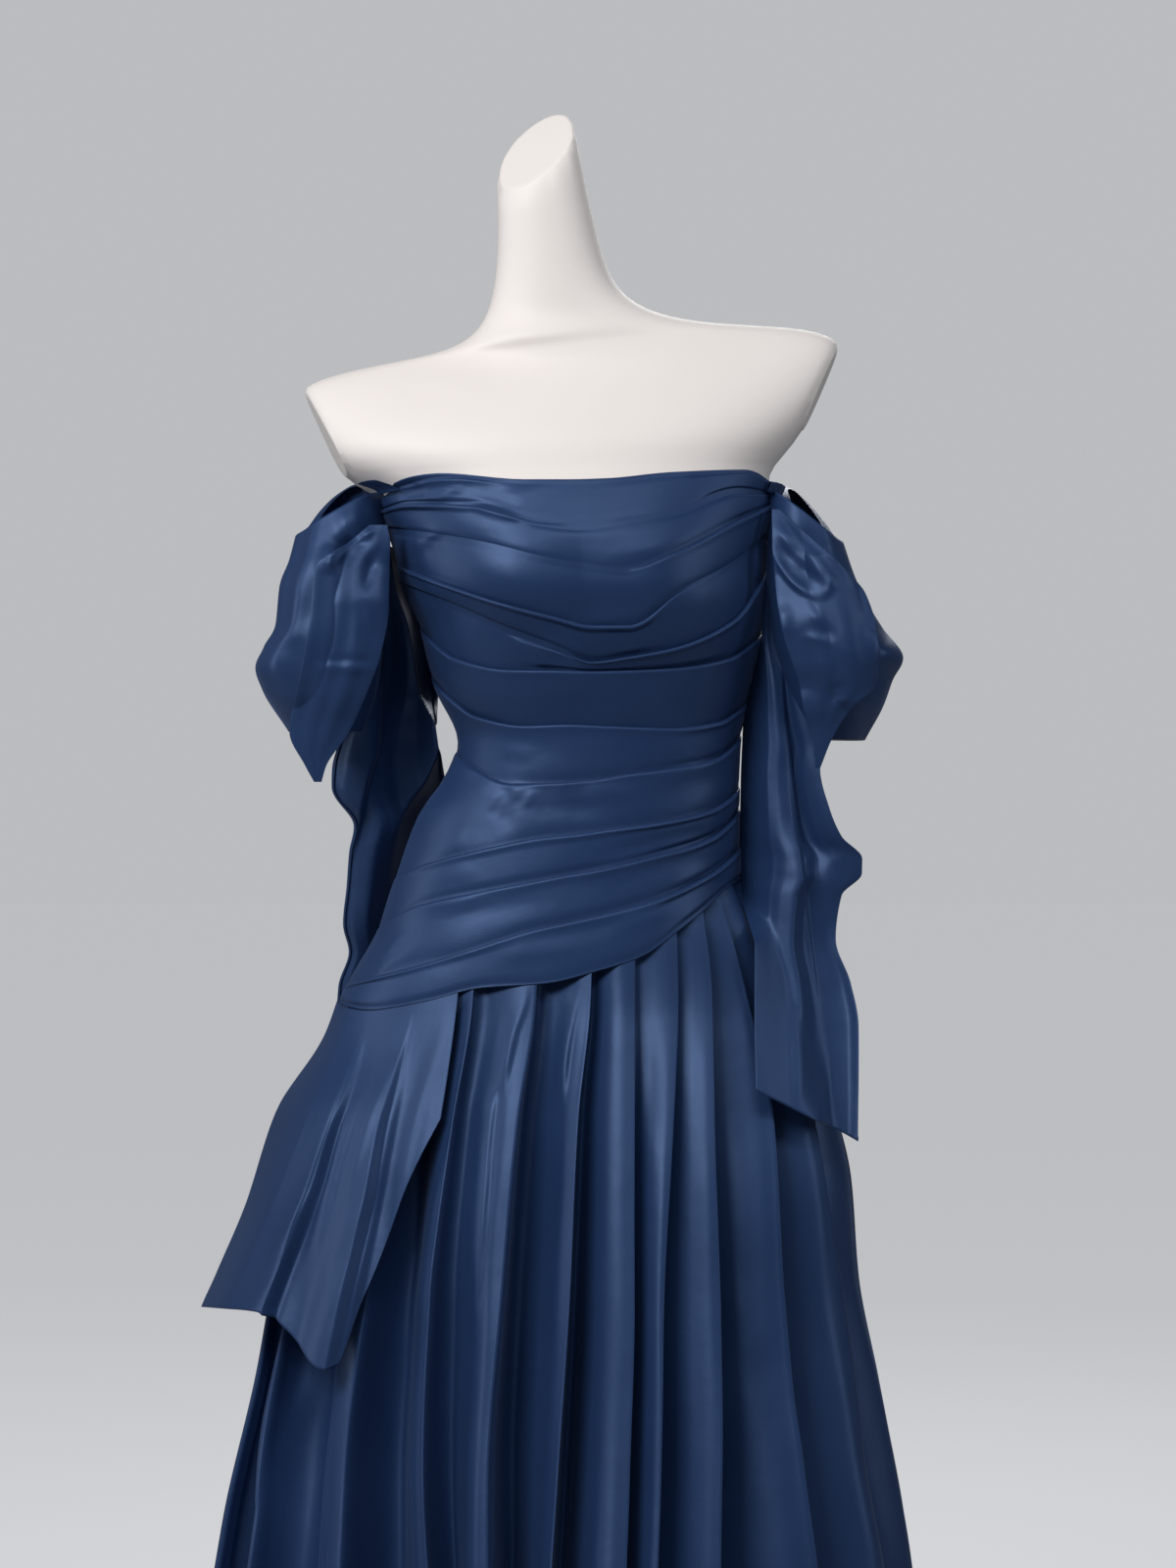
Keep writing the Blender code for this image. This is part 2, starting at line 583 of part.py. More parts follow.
def zip_slider(finish, parent):
    """The slider's body with two ears, as one outline in the XY plane drawn through its height."""
    middle, y = back_middle(SLIDER["height"], 0.0)
    half, back, front = SLIDER["wide"] / 2, SLIDER["back"], SLIDER["front"]
    outline = [(-half, back), (half, back), (half, front)]
    outline += [(EAR["outer"], front), (EAR["outer"], EAR["reach"]), (EAR["inner"], EAR["reach"])]
    outline += [(EAR["inner"], front), (-EAR["inner"], front)]
    outline += [(-EAR["inner"], EAR["reach"]), (-EAR["outer"], EAR["reach"]), (-EAR["outer"], front)]
    outline += [(-half, front)]
    levels = (-SLIDER["tall"] / 2, -EAR["half_tall"], EAR["half_tall"], SLIDER["tall"] / 2)
    bm = bmesh.new()
    body = [0, 1, 2, 3, 6, 7, 10, 11]
    rows = [[bm.verts.new((x, d, z)) for x, d in outline] for z in levels]
    for level in (0, 2):
        for i, j in zip(body, body[1:] + body[:1]):
            bm.faces.new((rows[level][i], rows[level][j], rows[level + 1][j], rows[level + 1][i]))
    for i in range(len(outline)):
        j = (i + 1) % len(outline)
        bm.faces.new((rows[1][i], rows[1][j], rows[2][j], rows[2][i]))
    bm.faces.new([rows[0][i] for i in body])
    bm.faces.new([rows[3][i] for i in body])
    for level in (1, 2):
        for ear in ((3, 4, 5, 6), (7, 8, 9, 10)):
            bm.faces.new([rows[level][i] for i in ear])
    loose = [vert for vert in bm.verts if not vert.link_faces]
    bmesh.ops.delete(bm, geom=loose, context="VERTS")
    return add_object("zip_slider", bm, finish, parent, (float(middle), float(y), SLIDER["height"]))


def zip_pull(finish, parent):
    """A teardrop tab that hangs from a knuckle between the slider's ears. Its origin is on the hinge."""
    middle, y = back_middle(SLIDER["height"], 0.0)
    y = y + PULL["y"]
    half_thick = PULL["thick"] / 2
    side = [(PULL_OUTLINE[0][0] * PULL["half_wide"], PULL["above_hinge"])]
    side += [(wide * PULL["half_wide"], -down * PULL["long"]) for wide, down in PULL_OUTLINE]
    outline = side + [(-x, z) for x, z in reversed(side)]
    bm = bmesh.new()
    rows = [[bm.verts.new((x, d, z)) for x, z in outline] for d in (-half_thick, half_thick)]
    count = len(outline)
    for i in range(count):
        j = (i + 1) % count
        bm.faces.new((rows[0][i], rows[0][j], rows[1][j], rows[1][i]))
    bm.faces.new(rows[0])
    bm.faces.new(rows[1])
    return add_object("zip_pull", bm, finish, parent, (float(middle), float(y), SLIDER["height"]))


# ---------------------------------------------------------------- skirt
def skirt_levels(turn_top):
    """Heights of the skirt's rows under a turn of the waist seam."""
    top = seam_height(turn_top)
    return top + (HEM_HEIGHT - top) * np.array(SKIRT_ROWS)


def fold_x(index, z):
    """x of a free fold at each height. The two sides stand in before the first and after the last."""
    if index < 0:
        return column(BODY, 1, z)
    if index >= len(SKIRT_PLEATS):
        return column(BODY, 2, z)
    return smooth(PLEAT_HEIGHTS, SKIRT_PLEATS[index], z)


def front_column(fold, share, depth_share):
    """One column of the front panel, from the waist seam to the hem, between a free fold and the next."""
    z = np.full(len(SKIRT_ROWS), WAIST_SEAM[0][1])
    for _ in range(SEAM_ROUNDS):
        x = fold_x(fold, z) * (1 - share) + fold_x(fold + 1, z) * share
        turn = turn_at_x(x, z)
        z = skirt_levels(turn[0])
    return body_point(turn, z, SKIRT_TOP - column(PLEAT_DEPTH, 1, z) * depth_share)


def skirt_front(finish, parent):
    places = [(fold, *step) for fold in range(-1, len(SKIRT_PLEATS)) for step in PLEAT_PROFILE]
    places.append((len(SKIRT_PLEATS), 0.0, 0.0))
    outside = np.stack([front_column(*place) for place in places], axis=1)
    inside = thicken(outside, -CLOTH)
    inside[..., 1] = np.minimum(inside[..., 1], -SEAM_GAP / 2)
    inside[:, [0, -1], 1] = -SEAM_GAP / 2
    return wall("skirt_front", outside, inside, finish, parent)


def skirt_back(finish, parent):
    folds = np.linspace(pi, tau - BEHIND, BACK_PLEAT_COUNT + 2)
    places = [(k, *step) for k in range(BACK_PLEAT_COUNT + 1) for step in PLEAT_PROFILE]
    places.append((BACK_PLEAT_COUNT + 1, 0.0, 0.0))
    columns = []
    for k, share, depth_share in places:
        turn = np.interp(k + share, range(len(folds)), folds)
        z = skirt_levels(turn)
        columns.append(body_point(turn, z, SKIRT_TOP - column(PLEAT_DEPTH, 1, z) * depth_share))
    outside = np.stack(columns, axis=1)
    outside[:, [0, -1], 1] = SEAM_GAP / 2
    inside = thicken(outside, CLOTH)
    inside[..., 1] = np.maximum(inside[..., 1], SEAM_GAP / 2)
    inside[:, [0, -1], 1] = SEAM_GAP / 2
    return wall("skirt_back", outside, inside, finish, parent)


def hip_drape(finish, parent):
    """The overlay on the right hip. It lies just off the skirt and flares out towards its pointed hem."""
    down = np.linspace(0, 1, DRAPE_ROWS)
    lies_at = SKIRT_TOP + CLOTH + DRAPE_GAP
    columns = []
    for x_top, x_hem, z_hem, flare, stands_out in DRAPE_FRONT:
        z = np.full(DRAPE_ROWS, WAIST_SEAM[0][1])
        x = x_top + (x_hem - x_top) * down**DRAPE_SPREAD
        for _ in range(SEAM_ROUNDS):
            loose = stands_out * (DRAPE_LOOSE_AT_SEAM + (1 - DRAPE_LOOSE_AT_SEAM) * down)
            out = lies_at + loose + flare * column(DRAPE_FLARE, 1, z)
            turn = turn_at_x(x, z, out)
            top = float(seam_height(turn[0]))
            z = top + (z_hem - top) * down
        columns.append(body_point(turn, z, out))
    for degrees, z_hem, flare in DRAPE_BACK:
        turn = pi + radians(degrees)
        top = float(seam_height(turn))
        z = top + (z_hem - top) * down
        out = lies_at + DRAPE_STANDS_OUT_BEHIND + flare * column(DRAPE_FLARE, 1, z)
        columns.append(body_point(turn, z, out))
    outside = np.stack(columns, axis=1)
    return wall("hip_drape", outside, thicken(outside, CLOTH), finish, parent)


# ---------------------------------------------------------------- sleeves
def sleeve(name, table, finish, parent):
    """A puffed tube round the place of the upper arm, open at both ends."""
    angles = np.linspace(0, tau, SLEEVE_COLUMNS, endpoint=False)
    rows = np.array(table)
    out_x, out_z, in_x, in_z, front, behind = [rows[:, i][:, None] for i in range(6)]
    across = power(np.cos(angles), 2 / SLEEVE_ROUNDNESS)[None, :]
    along = power(np.sin(angles), 2 / SLEEVE_ROUNDNESS)[None, :]
    outward = (1 + across) / 2
    x = in_x + (out_x - in_x) * outward
    depth = np.where(along < 0, front, behind)
    y = depth * along
    z = in_z + (out_z - in_z) * outward
    fade = np.linspace(1, 0, len(rows))[:, None] ** 2
    z = z + fade * np.where(along < 0, RIM_LIFT["front"], RIM_LIFT["back"]) * along**2
    # soft gathers stand off the plain tube, and none against the body
    swell = SLEEVE_GATHERS["height"] * np.sin(SLEEVE_GATHERS["count"] * angles)[None, :] * outward
    swell = swell * np.sin(np.linspace(pi / 4, pi, len(rows)))[:, None]
    side = np.sign(out_x)
    x = x + swell * across * side
    y = y + swell * along
    outside = np.stack([x, y, z], axis=-1)
    towards_axis = -CLOTH if table[0][0] > 0 else CLOTH
    return wall(name, outside, thicken(outside, towards_axis, closed=True), finish, parent, closed=True)


def sleeve_front(table, x, z):
    """How far a sleeve reaches in front at this x and height, without its gathers."""
    heights = [-(row[1] + row[3]) / 2 for row in table]
    outer = smooth(heights, [row[0] for row in table], -z)
    inner = smooth(heights, [row[2] for row in table], -z)
    depth = smooth(heights, [row[4] for row in table], -z)
    u = np.clip(np.abs((2 * x - outer - inner) / (outer - inner)), 0, 1)
    return depth * (1 - u**SLEEVE_ROUNDNESS) ** (1 / SLEEVE_ROUNDNESS)


def fan(name, table, under, finish, parent):
    """A panel that spreads from its knot over the front of the sleeve."""
    rows = np.array(table)
    across = np.linspace(0, 1, FAN_COLUMNS)[None, :]
    z = rows[:, 0][:, None] + 0 * across
    x = rows[:, 1][:, None] * (1 - across) + rows[:, 2][:, None] * across
    width = np.abs(rows[:, 1] - rows[:, 2])[:, None]
    opened = np.minimum(1, (width / FAN_RIDGES["full_from_width"]) ** 2)
    ridge = -FAN_RIDGES["height"] * np.cos(tau * FAN_RIDGES["count"] * across) * opened
    fall = FAN_CURVE * (2 * across - 1) ** 2 * opened
    free = rows[:, 3][:, None] + fall
    y = np.minimum(free, -sleeve_front(under, x, z) - FAN_CLEARANCE) + ridge
    outside = np.stack([x, y, z], axis=-1)
    side = 1 if table[0][1] > 0 else -1
    return wall(name, outside, thicken(outside, side * CLOTH), finish, parent)


def tail(name, table, hem_rise, finish, parent):
    """A long gathered end. It hangs clear of the body: behind the hip, or in front of it."""
    way, depth_column = (-1, 3) if table[-1][3] < 0 else (1, 4)
    across = np.linspace(0, 1, TAIL_COLUMNS)[None, :]
    down = np.linspace(0, 1, TAIL_ROWS)[:, None]
    top = table[0][0]
    hem = table[-1][0] + hem_rise * (1 - across)
    z = top + (hem - top) * down
    x = column(table, 1, z) * (1 - across) + column(table, 2, z) * across
    width = np.abs(column(table, 2, z) - column(table, 1, z))
    opened = np.minimum(1, width / TAIL_FOLDS["full_from_width"])
    depth = (TAIL_FOLDS["top"] + (TAIL_FOLDS["bottom"] - TAIL_FOLDS["top"]) * down) * opened**2
    clearance = np.interp(opened, (0, 1), (TAIL_CLEARANCE["at_knot"], TAIL_CLEARANCE["where_wide"]))
    free = column(table, 3, z) * way
    held = body_depth(x, z, clearance, depth_column)
    y = way * (free + held + np.hypot(free - held, TAIL_CLEARANCE["soft"])) / 2
    outside = np.stack([x, y + depth * np.sin(tau * TAIL_FOLDS["count"] * across), z], axis=-1)
    return wall(name, outside, thicken(outside, CLOTH), finish, parent)


def strap(name, x_middle, finish, parent):
    """A folded tab that lies on the bodice's top corner."""
    x = x_middle + np.linspace(-0.5, 0.5, STRAP["columns"]) * STRAP["wide"]
    right, left = column(BODY, 1, STRAP["height"]), column(BODY, 2, STRAP["height"])
    share = (x - right) / (left - right)
    levels = np.linspace(STRAP["above"], -STRAP["below"], STRAP["rows"])[:, None]
    z = smooth(PLEAT_ACROSS, TOP_EDGE, share) + levels
    near = body_point(turn_at(share), z, BODICE_OUTSIDE + STRAP["off"])
    far = body_point(turn_at(share), z, BODICE_OUTSIDE + STRAP["off"] + STRAP["thick"])
    return wall(name, far, near, finish, parent)


# ---------------------------------------------------------------- display form and stand
def form_ring(z, tilt, right, left, front, behind, y_middle):
    angles = np.linspace(0, tau, FORM_COLUMNS, endpoint=False)
    across = power(np.cos(angles), 2 / ROUNDNESS)
    along = power(np.sin(angles), 2 / ROUNDNESS)
    half = (left - right) / 2
    x = (left + right) / 2 + half * across
    y = y_middle + np.where(along > 0, -front, -behind) * along
    return np.stack([x, y, z + half * across * np.tan(radians(tilt))], axis=-1)


def cut(bm, point, normal, keep_above):
    """Cuts the mesh by a plane, only in its part above a height, and closes the cut."""
    faces = [face for face in bm.faces if min(vert.co.z for vert in face.verts) > keep_above]
    edges = {edge for face in faces for edge in face.edges}
    verts = {vert for face in faces for vert in face.verts}
    result = bmesh.ops.bisect_plane(
        bm,
        geom=[*verts, *edges, *faces],
        plane_co=Vector(point),
        plane_no=Vector(normal).normalized(),
        clear_outer=True,
    )
    rim = [item for item in result["geom_cut"] if isinstance(item, bmesh.types.BMEdge)]
    bmesh.ops.edgeloop_fill(bm, edges=rim)


def dress_form(finish, parent):
    heights = np.linspace(FORM_BOTTOM, FORM_TOP_OF_TORSO, FORM_RINGS)
    angles = np.linspace(0, tau, FORM_COLUMNS, endpoint=False)
    rings = []
    for z in heights:
        narrower = FORM_NARROWING * max(0.0, WAIST_SEAM[-1][1] - z)
        for held_in in (FORM_WAIST, FORM_CHEST):
            narrower += held_in["slimmer"] * np.exp(-(((z - held_in["height"]) / held_in["tall"]) ** 2))
        rings.append(body_point(angles, z, FORM_INSIDE - narrower))
    rings += [form_ring(*row) for row in FORM_UPPER]
    bm = bmesh.new()
    rows = grid_faces(bm, rings, closed=True)
    bm.faces.new(rows[0])
    bm.faces.new(rows[-1])
    bmesh.ops.recalc_face_normals(bm, faces=bm.faces)
    cut(bm, NECK_CUT["point"], (-NECK_CUT["rise_x"], -NECK_CUT["rise_y"], 1), NECK_CUT["above"])
    for arm in ARM_CUTS:
        run = arm["top"][0] - arm["foot"][0]
        rise = arm["top"][1] - arm["foot"][1]
        normal = (arm["side"] * rise, -ARM_CUT_FACES_FRONT * rise, -arm["side"] * run)
        cut(bm, (arm["foot"][0], 0, arm["foot"][1]), normal, FORM_TOP_OF_TORSO - 0.001)
    return add_object("dress_form", bm, finish, parent)


def stand_pole(finish, parent):
    top = FORM_BOTTOM - SEAM_GAP
    shoulder = top - FLANGE["thick"]
    profile = [(POLE_RADIUS, BASE_THICK + HUB["height"] + SEAM_GAP), (POLE_RADIUS, shoulder - FLANGE["neck"])]
    profile += [(POLE_RADIUS + FLANGE["thick"], shoulder - FLANGE["neck"] / 3)]
    profile += [(FLANGE["radius"], shoulder), (FLANGE["radius"], top)]
    return turned("stand_pole", profile, finish, parent)


def stand_base(finish, parent):
    profile = [(BASE_RADIUS - BASE_FOOT, 0.0), (BASE_RADIUS, BASE_FOOT)]
    profile += [(BASE_RADIUS, BASE_THICK - BASE_ROUND), (BASE_RADIUS - BASE_ROUND, BASE_THICK)]
    profile += [(HUB["radius"] + HUB["fillet"], BASE_THICK), (HUB["radius"], BASE_THICK + HUB["fillet"])]
    profile += [(HUB["top_radius"], BASE_THICK + HUB["height"])]
    return turned("stand_base", profile, finish, parent)


# ---------------------------------------------------------------- the whole
def clear_scene():
    for existing in list(bpy.data.objects):
        bpy.data.objects.remove(existing, do_unlink=True)


def empty(name):
    made = bpy.data.objects.new(name, None)
    bpy.context.scene.collection.objects.link(made)
    return made


def build():
    clear_scene()
    dress = empty("dress")
    display = empty("display")
    satin = material("satin", NAVY, 0.38)
    satin_dark = material("satin_dark", NAVY_DARK, 0.45)
    form_skin = material("form_skin", FORM_WHITE, 0.55)
    steel = material("steel", STEEL, 0.35, 1.0)

    bodice_front(satin, dress)
    bodice_back("bodice_back_right", pi + BEHIND, satin, dress)
    bodice_back("bodice_back_left", tau - BEHIND, satin, dress)
    zip_tape(satin_dark, dress)
    zip_slider(steel, dress)
    zip_pull(steel, dress)
    skirt_front(satin, dress)
    skirt_back(satin, dress)
    hip_drape(satin, dress)
    sleeve("sleeve_right", SLEEVE_RIGHT, satin, dress)
    sleeve("sleeve_left", SLEEVE_LEFT, satin, dress)
    fan("fan_right", FAN_RIGHT, SLEEVE_RIGHT, satin, dress)
    fan("fan_left", FAN_LEFT, SLEEVE_LEFT, satin, dress)
    tail("tail_right", TAIL_RIGHT, 0.0, satin, dress)
    tail("tail_left", TAIL_LEFT, TAIL_LEFT_HEM_RISE, satin, dress)
    strap("strap_right", STRAP["right_x"], satin, dress)
    strap("strap_left", STRAP["left_x"], satin, dress)
    dress_form(form_skin, display)
    stand_pole(steel, display)
    stand_base(steel, display)


build()
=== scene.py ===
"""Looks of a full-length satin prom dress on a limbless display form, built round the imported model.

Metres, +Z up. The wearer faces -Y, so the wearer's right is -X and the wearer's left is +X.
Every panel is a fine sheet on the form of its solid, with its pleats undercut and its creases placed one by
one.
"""

from math import cos, pi, radians, sin, tan, tau

import bmesh
import bpy
import numpy as np
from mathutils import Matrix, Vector


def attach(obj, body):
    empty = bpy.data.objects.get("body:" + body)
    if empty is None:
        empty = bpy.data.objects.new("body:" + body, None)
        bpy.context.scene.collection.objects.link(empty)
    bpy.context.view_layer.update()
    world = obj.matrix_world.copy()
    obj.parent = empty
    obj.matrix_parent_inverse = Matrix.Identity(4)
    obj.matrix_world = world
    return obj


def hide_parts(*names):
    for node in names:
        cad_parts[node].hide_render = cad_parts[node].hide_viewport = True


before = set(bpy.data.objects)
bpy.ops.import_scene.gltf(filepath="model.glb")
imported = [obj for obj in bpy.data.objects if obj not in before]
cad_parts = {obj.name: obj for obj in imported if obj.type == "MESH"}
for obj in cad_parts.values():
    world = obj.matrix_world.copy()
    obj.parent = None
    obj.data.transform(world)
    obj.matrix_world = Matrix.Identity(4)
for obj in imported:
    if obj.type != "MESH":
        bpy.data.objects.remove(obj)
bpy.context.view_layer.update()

# ---------------------------------------------------------------- driving sizes
SEAM_GAP = 0.0003  # between two pieces that are sewn together
RIM_GAP = 0.0009  # between the bodice's lower edge and the skirt's upper edge
CLOTH = 0.0018  # a wall of cloth
ROUNDNESS = 2.2  # exponent of the body's oval: 2 is an ellipse, more is squarer

# Each surface, measured outward from the outline that the tables give
BODICE_OUTSIDE = -0.0012
FORM_INSIDE = -0.0050
SKIRT_TOP = -0.0010
HEM_HEIGHT = 0.012

# The dress's outline: height, right side x, left side x, depth in front, depth behind
BODY = (
    (1.338, -0.209, 0.184, 0.097, 0.099),
    (1.312, -0.199, 0.168, 0.107, 0.102),
    (1.300, -0.169, 0.162, 0.111, 0.101),
    (1.285, -0.163, 0.160, 0.117, 0.101),
    (1.265, -0.154, 0.156, 0.124, 0.100),
    (1.225, -0.144, 0.153, 0.128, 0.098),
    (1.193, -0.130, 0.151, 0.121, 0.096),
    (1.145, -0.118, 0.141, 0.104, 0.092),
    (1.100, -0.099, 0.133, 0.090, 0.088),
    (1.073, -0.108, 0.132, 0.091, 0.090),
    (1.041, -0.130, 0.132, 0.096, 0.097),
    (0.989, -0.150, 0.134, 0.106, 0.112),
    (0.945, -0.165, 0.154, 0.116, 0.122),
    (0.888, -0.196, 0.178, 0.128, 0.134),
    (0.857, -0.204, 0.191, 0.138, 0.144),
    (0.809, -0.218, 0.208, 0.154, 0.162),
    (0.743, -0.234, 0.224, 0.174, 0.186),
    (0.665, -0.250, 0.230, 0.194, 0.212),
    (0.585, -0.264, 0.245, 0.212, 0.236),
    (0.477, -0.289, 0.266, 0.238, 0.266),
    (0.426, -0.298, 0.273, 0.250, 0.280),
    (0.012, -0.372, 0.335, 0.338, 0.376),
)
BUST = {"height": 1.226, "apart": 0.066, "wide": 0.048, "tall": 0.046, "stands_out": 0.009}

# The waist seam in front: share of the way from the right side to the left, height
WAIST_SEAM = (
    (0.000, 0.888),
    (0.070, 0.885),
    (0.190, 0.893),
    (0.310, 0.905),
    (0.455, 0.909),
    (0.560, 0.918),
    (0.666, 0.929),
    (0.770, 0.949),
    (0.860, 0.965),
    (0.970, 0.985),
    (1.000, 0.989),
)

# The bodice's pleats: heights of each folded edge at these shares of the way across,
# and how far the edge stands out there, in millimetres
PLEAT_ACROSS = (0.0, 0.1, 0.25, 0.4, 0.5, 0.6, 0.75, 0.9, 1.0)
TOP_EDGE = (1.2945, 1.311, 1.319, 1.314, 1.314, 1.315, 1.320, 1.322, 1.307)
PLEATS = (
    # name, heights, stands out (mm)
    ("corner", (1.288, 1.294, 1.293, 1.279, 1.276, 1.280, 1.288, 1.305, 1.302), (3, 3, 3, 1, 0, 0, 0, 0, 0)),
    ("cowl", (1.273, 1.269, 1.261, 1.249, 1.243, 1.239, 1.256, 1.280, 1.296), (0, 0, 0, 0, 0, 0, 3, 3, 3)),
    ("swag", (1.245, 1.233, 1.215, 1.202, 1.195, 1.195, 1.221, 1.245, 1.269), (3, 4, 4, 4, 4, 4, 1, 0, 0)),
    ("under", (1.228, 1.215, 1.193, 1.176, 1.165, 1.169, 1.178, 1.200, 1.241), (0, 0, 0, 0, 3, 4, 4, 4, 4)),
    ("bust", (1.193, 1.168, 1.1585, 1.158, 1.1575, 1.158, 1.160, 1.168, 1.189), (4, 4, 3, 3, 3, 3, 3, 4, 4)),
    ("midriff", (1.153, 1.121, 1.113, 1.114, 1.113, 1.112, 1.111, 1.116, 1.132), (4, 4, 3, 3, 3, 3, 3, 4, 4)),
    ("waist", (1.091, 1.079, 1.066, 1.067, 1.069, 1.073, 1.078, 1.086, 1.105), (4, 5, 4, 4, 3, 3, 3, 4, 4)),
    ("high_hip", (0.988, 1.001, 1.013, 1.022, 1.025, 1.029, 1.035, 1.045, 1.063), (3, 4, 4, 4, 4, 4, 4, 4, 4)),
    ("mid_hip", (0.947, 0.966, 0.977, 0.986, 0.992, 0.997, 1.008, 1.022, 1.045), (3, 4, 4, 4, 4, 4, 4, 4, 4)),
    ("low_hip", (0.902, 0.912, 0.929, 0.946, 0.953, 0.960, 0.973, 0.993, 1.015), (3, 4, 4, 4, 4, 4, 4, 4, 4)),
)
PLEAT_SLACK = 0.0006  # how far the cloth stands out midway between two folded edges
TOP_EDGE_RELIEF = 0.0008
SEAM_RELIEF = 0.0012
BACK_PLEATS = ("swag", "bust", "midriff", "waist", "high_hip", "mid_hip", "low_hip")
BACK_PLEAT_STANDS_OUT = 0.0022
BACK_EDGE_RELIEF = 0.0008
BACK_TOP = {"side": 1.2945, "other_side": 1.307, "centre": 1.292}

# The skirt's pleats in front: x of each free fold at these heights, as the camera sees it
PLEAT_HEIGHTS = (0.012, 0.430, 0.534, 0.665, 0.801, 0.900, 0.985)
SKIRT_PLEATS = (
    # from the hem up to the waist seam
    (-0.340, -0.272, -0.258, -0.232, -0.192, -0.164, -0.160),
    (-0.240, -0.197, -0.192, -0.174, -0.154, -0.128, -0.124),
    (-0.140, -0.124, -0.128, -0.122, -0.104, -0.087, -0.084),
    (-0.084, -0.074, -0.074, -0.064, -0.050, -0.035, -0.032),
    (-0.032, -0.025, -0.018, -0.008, -0.001, 0.010, 0.012),
    (0.040, 0.038, 0.042, 0.046, 0.046, 0.046, 0.046),
    (0.100, 0.064, 0.067, 0.070, 0.078, 0.082, 0.079),
    (0.152, 0.118, 0.118, 0.117, 0.112, 0.110, 0.100),
    (0.232, 0.200, 0.186, 0.170, 0.160, 0.138, 0.114),
    (0.300, 0.252, 0.236, 0.216, 0.194, 0.160, 0.126),
)
BACK_PLEAT_COUNT = 9
SEAM_ROUNDS = 12  # a column's top follows the slanting seam, so it is found step by step

# The hip drape's columns from its inner edge round to the back: x at the seam, x at the hem,
# height of the hem, share of the flare, how far it stands out
DRAPE_FRONT = (
    (-0.094, -0.112, 0.793, 0.00, 0.0022),
    (-0.106, -0.138, 0.740, 0.00, 0.0022),
    (-0.124, -0.172, 0.652, 0.05, 0.0020),
    (-0.134, -0.199, 0.590, 0.15, 0.0070),
    (-0.150, -0.226, 0.611, 0.35, 0.0040),
    (-0.164, -0.240, 0.628, 0.50, 0.0030),
    (-0.170, -0.250, 0.638, 0.60, 0.0080),
    (-0.184, -0.282, 0.640, 0.85, 0.0040),
)
# round the side and the back: degrees past the side, height of the hem, share of the flare
DRAPE_BACK = (
    (0, 0.637, 1.0),
    (14, 0.652, 0.95),
    (28, 0.690, 0.8),
    (42, 0.740, 0.6),
    (56, 0.795, 0.4),
    (68, 0.850, 0.25),
)
# how far it flares out: height, distance
DRAPE_FLARE = (
    (0.580, 0.060),
    (0.637, 0.049),
    (0.665, 0.041),
    (0.730, 0.027),
    (0.789, 0.023),
    (0.825, 0.016),
    (0.862, 0.009),
    (0.990, 0.001),
)
DRAPE_GAP = 0.0004
DRAPE_STANDS_OUT_BEHIND = 0.0020
DRAPE_SPREAD = 1.15  # above 1, the columns part faster towards the hem
DRAPE_LOOSE_AT_SEAM = 0.25
DRAPE_PLEATS = {"count": 5, "height": 0.003, "wider": 0.8, "grows": 1.2}

# The sleeves: x and height at the outer side, x and height at the inner side, depth in front, behind
SLEEVE_RIGHT = (
    (-0.2304, 1.264, -0.1665, 1.293, 0.060, 0.062),
    (-0.2344, 1.245, -0.1665, 1.270, 0.068, 0.068),
    (-0.2416, 1.225, -0.1666, 1.245, 0.074, 0.074),
    (-0.2456, 1.193, -0.1660, 1.210, 0.078, 0.078),
    (-0.2560, 1.176, -0.1660, 1.185, 0.080, 0.080),
    (-0.2624, 1.160, -0.1680, 1.160, 0.078, 0.080),
    (-0.2560, 1.140, -0.1730, 1.136, 0.070, 0.074),
    (-0.2360, 1.108, -0.1850, 1.108, 0.050, 0.056),
)
SLEEVE_LEFT = (
    (0.2168, 1.260, 0.1640, 1.296, 0.060, 0.062),
    (0.2256, 1.234, 0.1630, 1.270, 0.068, 0.068),
    (0.2360, 1.211, 0.1620, 1.240, 0.074, 0.074),
    (0.2472, 1.191, 0.1630, 1.210, 0.078, 0.080),
    (0.2632, 1.168, 0.1660, 1.180, 0.080, 0.084),
    (0.2544, 1.150, 0.1740, 1.155, 0.076, 0.080),
    (0.2472, 1.128, 0.1820, 1.130, 0.068, 0.074),
    (0.2336, 1.101, 0.1920, 1.102, 0.048, 0.056),
)
SLEEVE_ROUNDNESS = 2.3
SLEEVE_GATHERS = {"count": 9, "height": 0.0028}

# The fans: height, x of the side away from the body, x of the side near it, y at mid width
FAN_RIGHT = (
    (1.2720, -0.1660, -0.1520, -0.0700),
    (1.2570, -0.1840, -0.1495, -0.0745),
    (1.2370, -0.2088, -0.1500, -0.0802),
    (1.2070, -0.2112, -0.1500, -0.0880),
    (1.1670, -0.2168, -0.1568, -0.0885),
    (1.1430, -0.2224, -0.1656, -0.0840),
    (1.1070, -0.2304, -0.1824, -0.0720),
    (1.0800, -0.2180, -0.2010, -0.0650),
    (1.0670, -0.2110, -0.2050, -0.0620),
)
FAN_LEFT = (
    (1.2850, 0.1610, 0.1550, -0.0600),
    (1.2700, 0.1770, 0.1550, -0.0660),
    (1.2550, 0.1930, 0.1550, -0.0720),
    (1.2400, 0.2090, 0.1560, -0.0775),
    (1.2170, 0.2290, 0.1575, -0.0825),
    (1.1870, 0.2376, 0.1620, -0.0895),
    (1.1620, 0.2400, 0.1700, -0.0885),
    (1.1440, 0.2376, 0.1760, -0.0830),
    (1.1270, 0.2192, 0.1790, -0.0770),
    (1.1040, 0.2040, 0.1864, -0.0680),
    (1.0780, 0.1936, 0.1900, -0.0620),
)
FAN_RIDGES = {"count": 3, "height": 0.004, "full_from_width": 0.060}
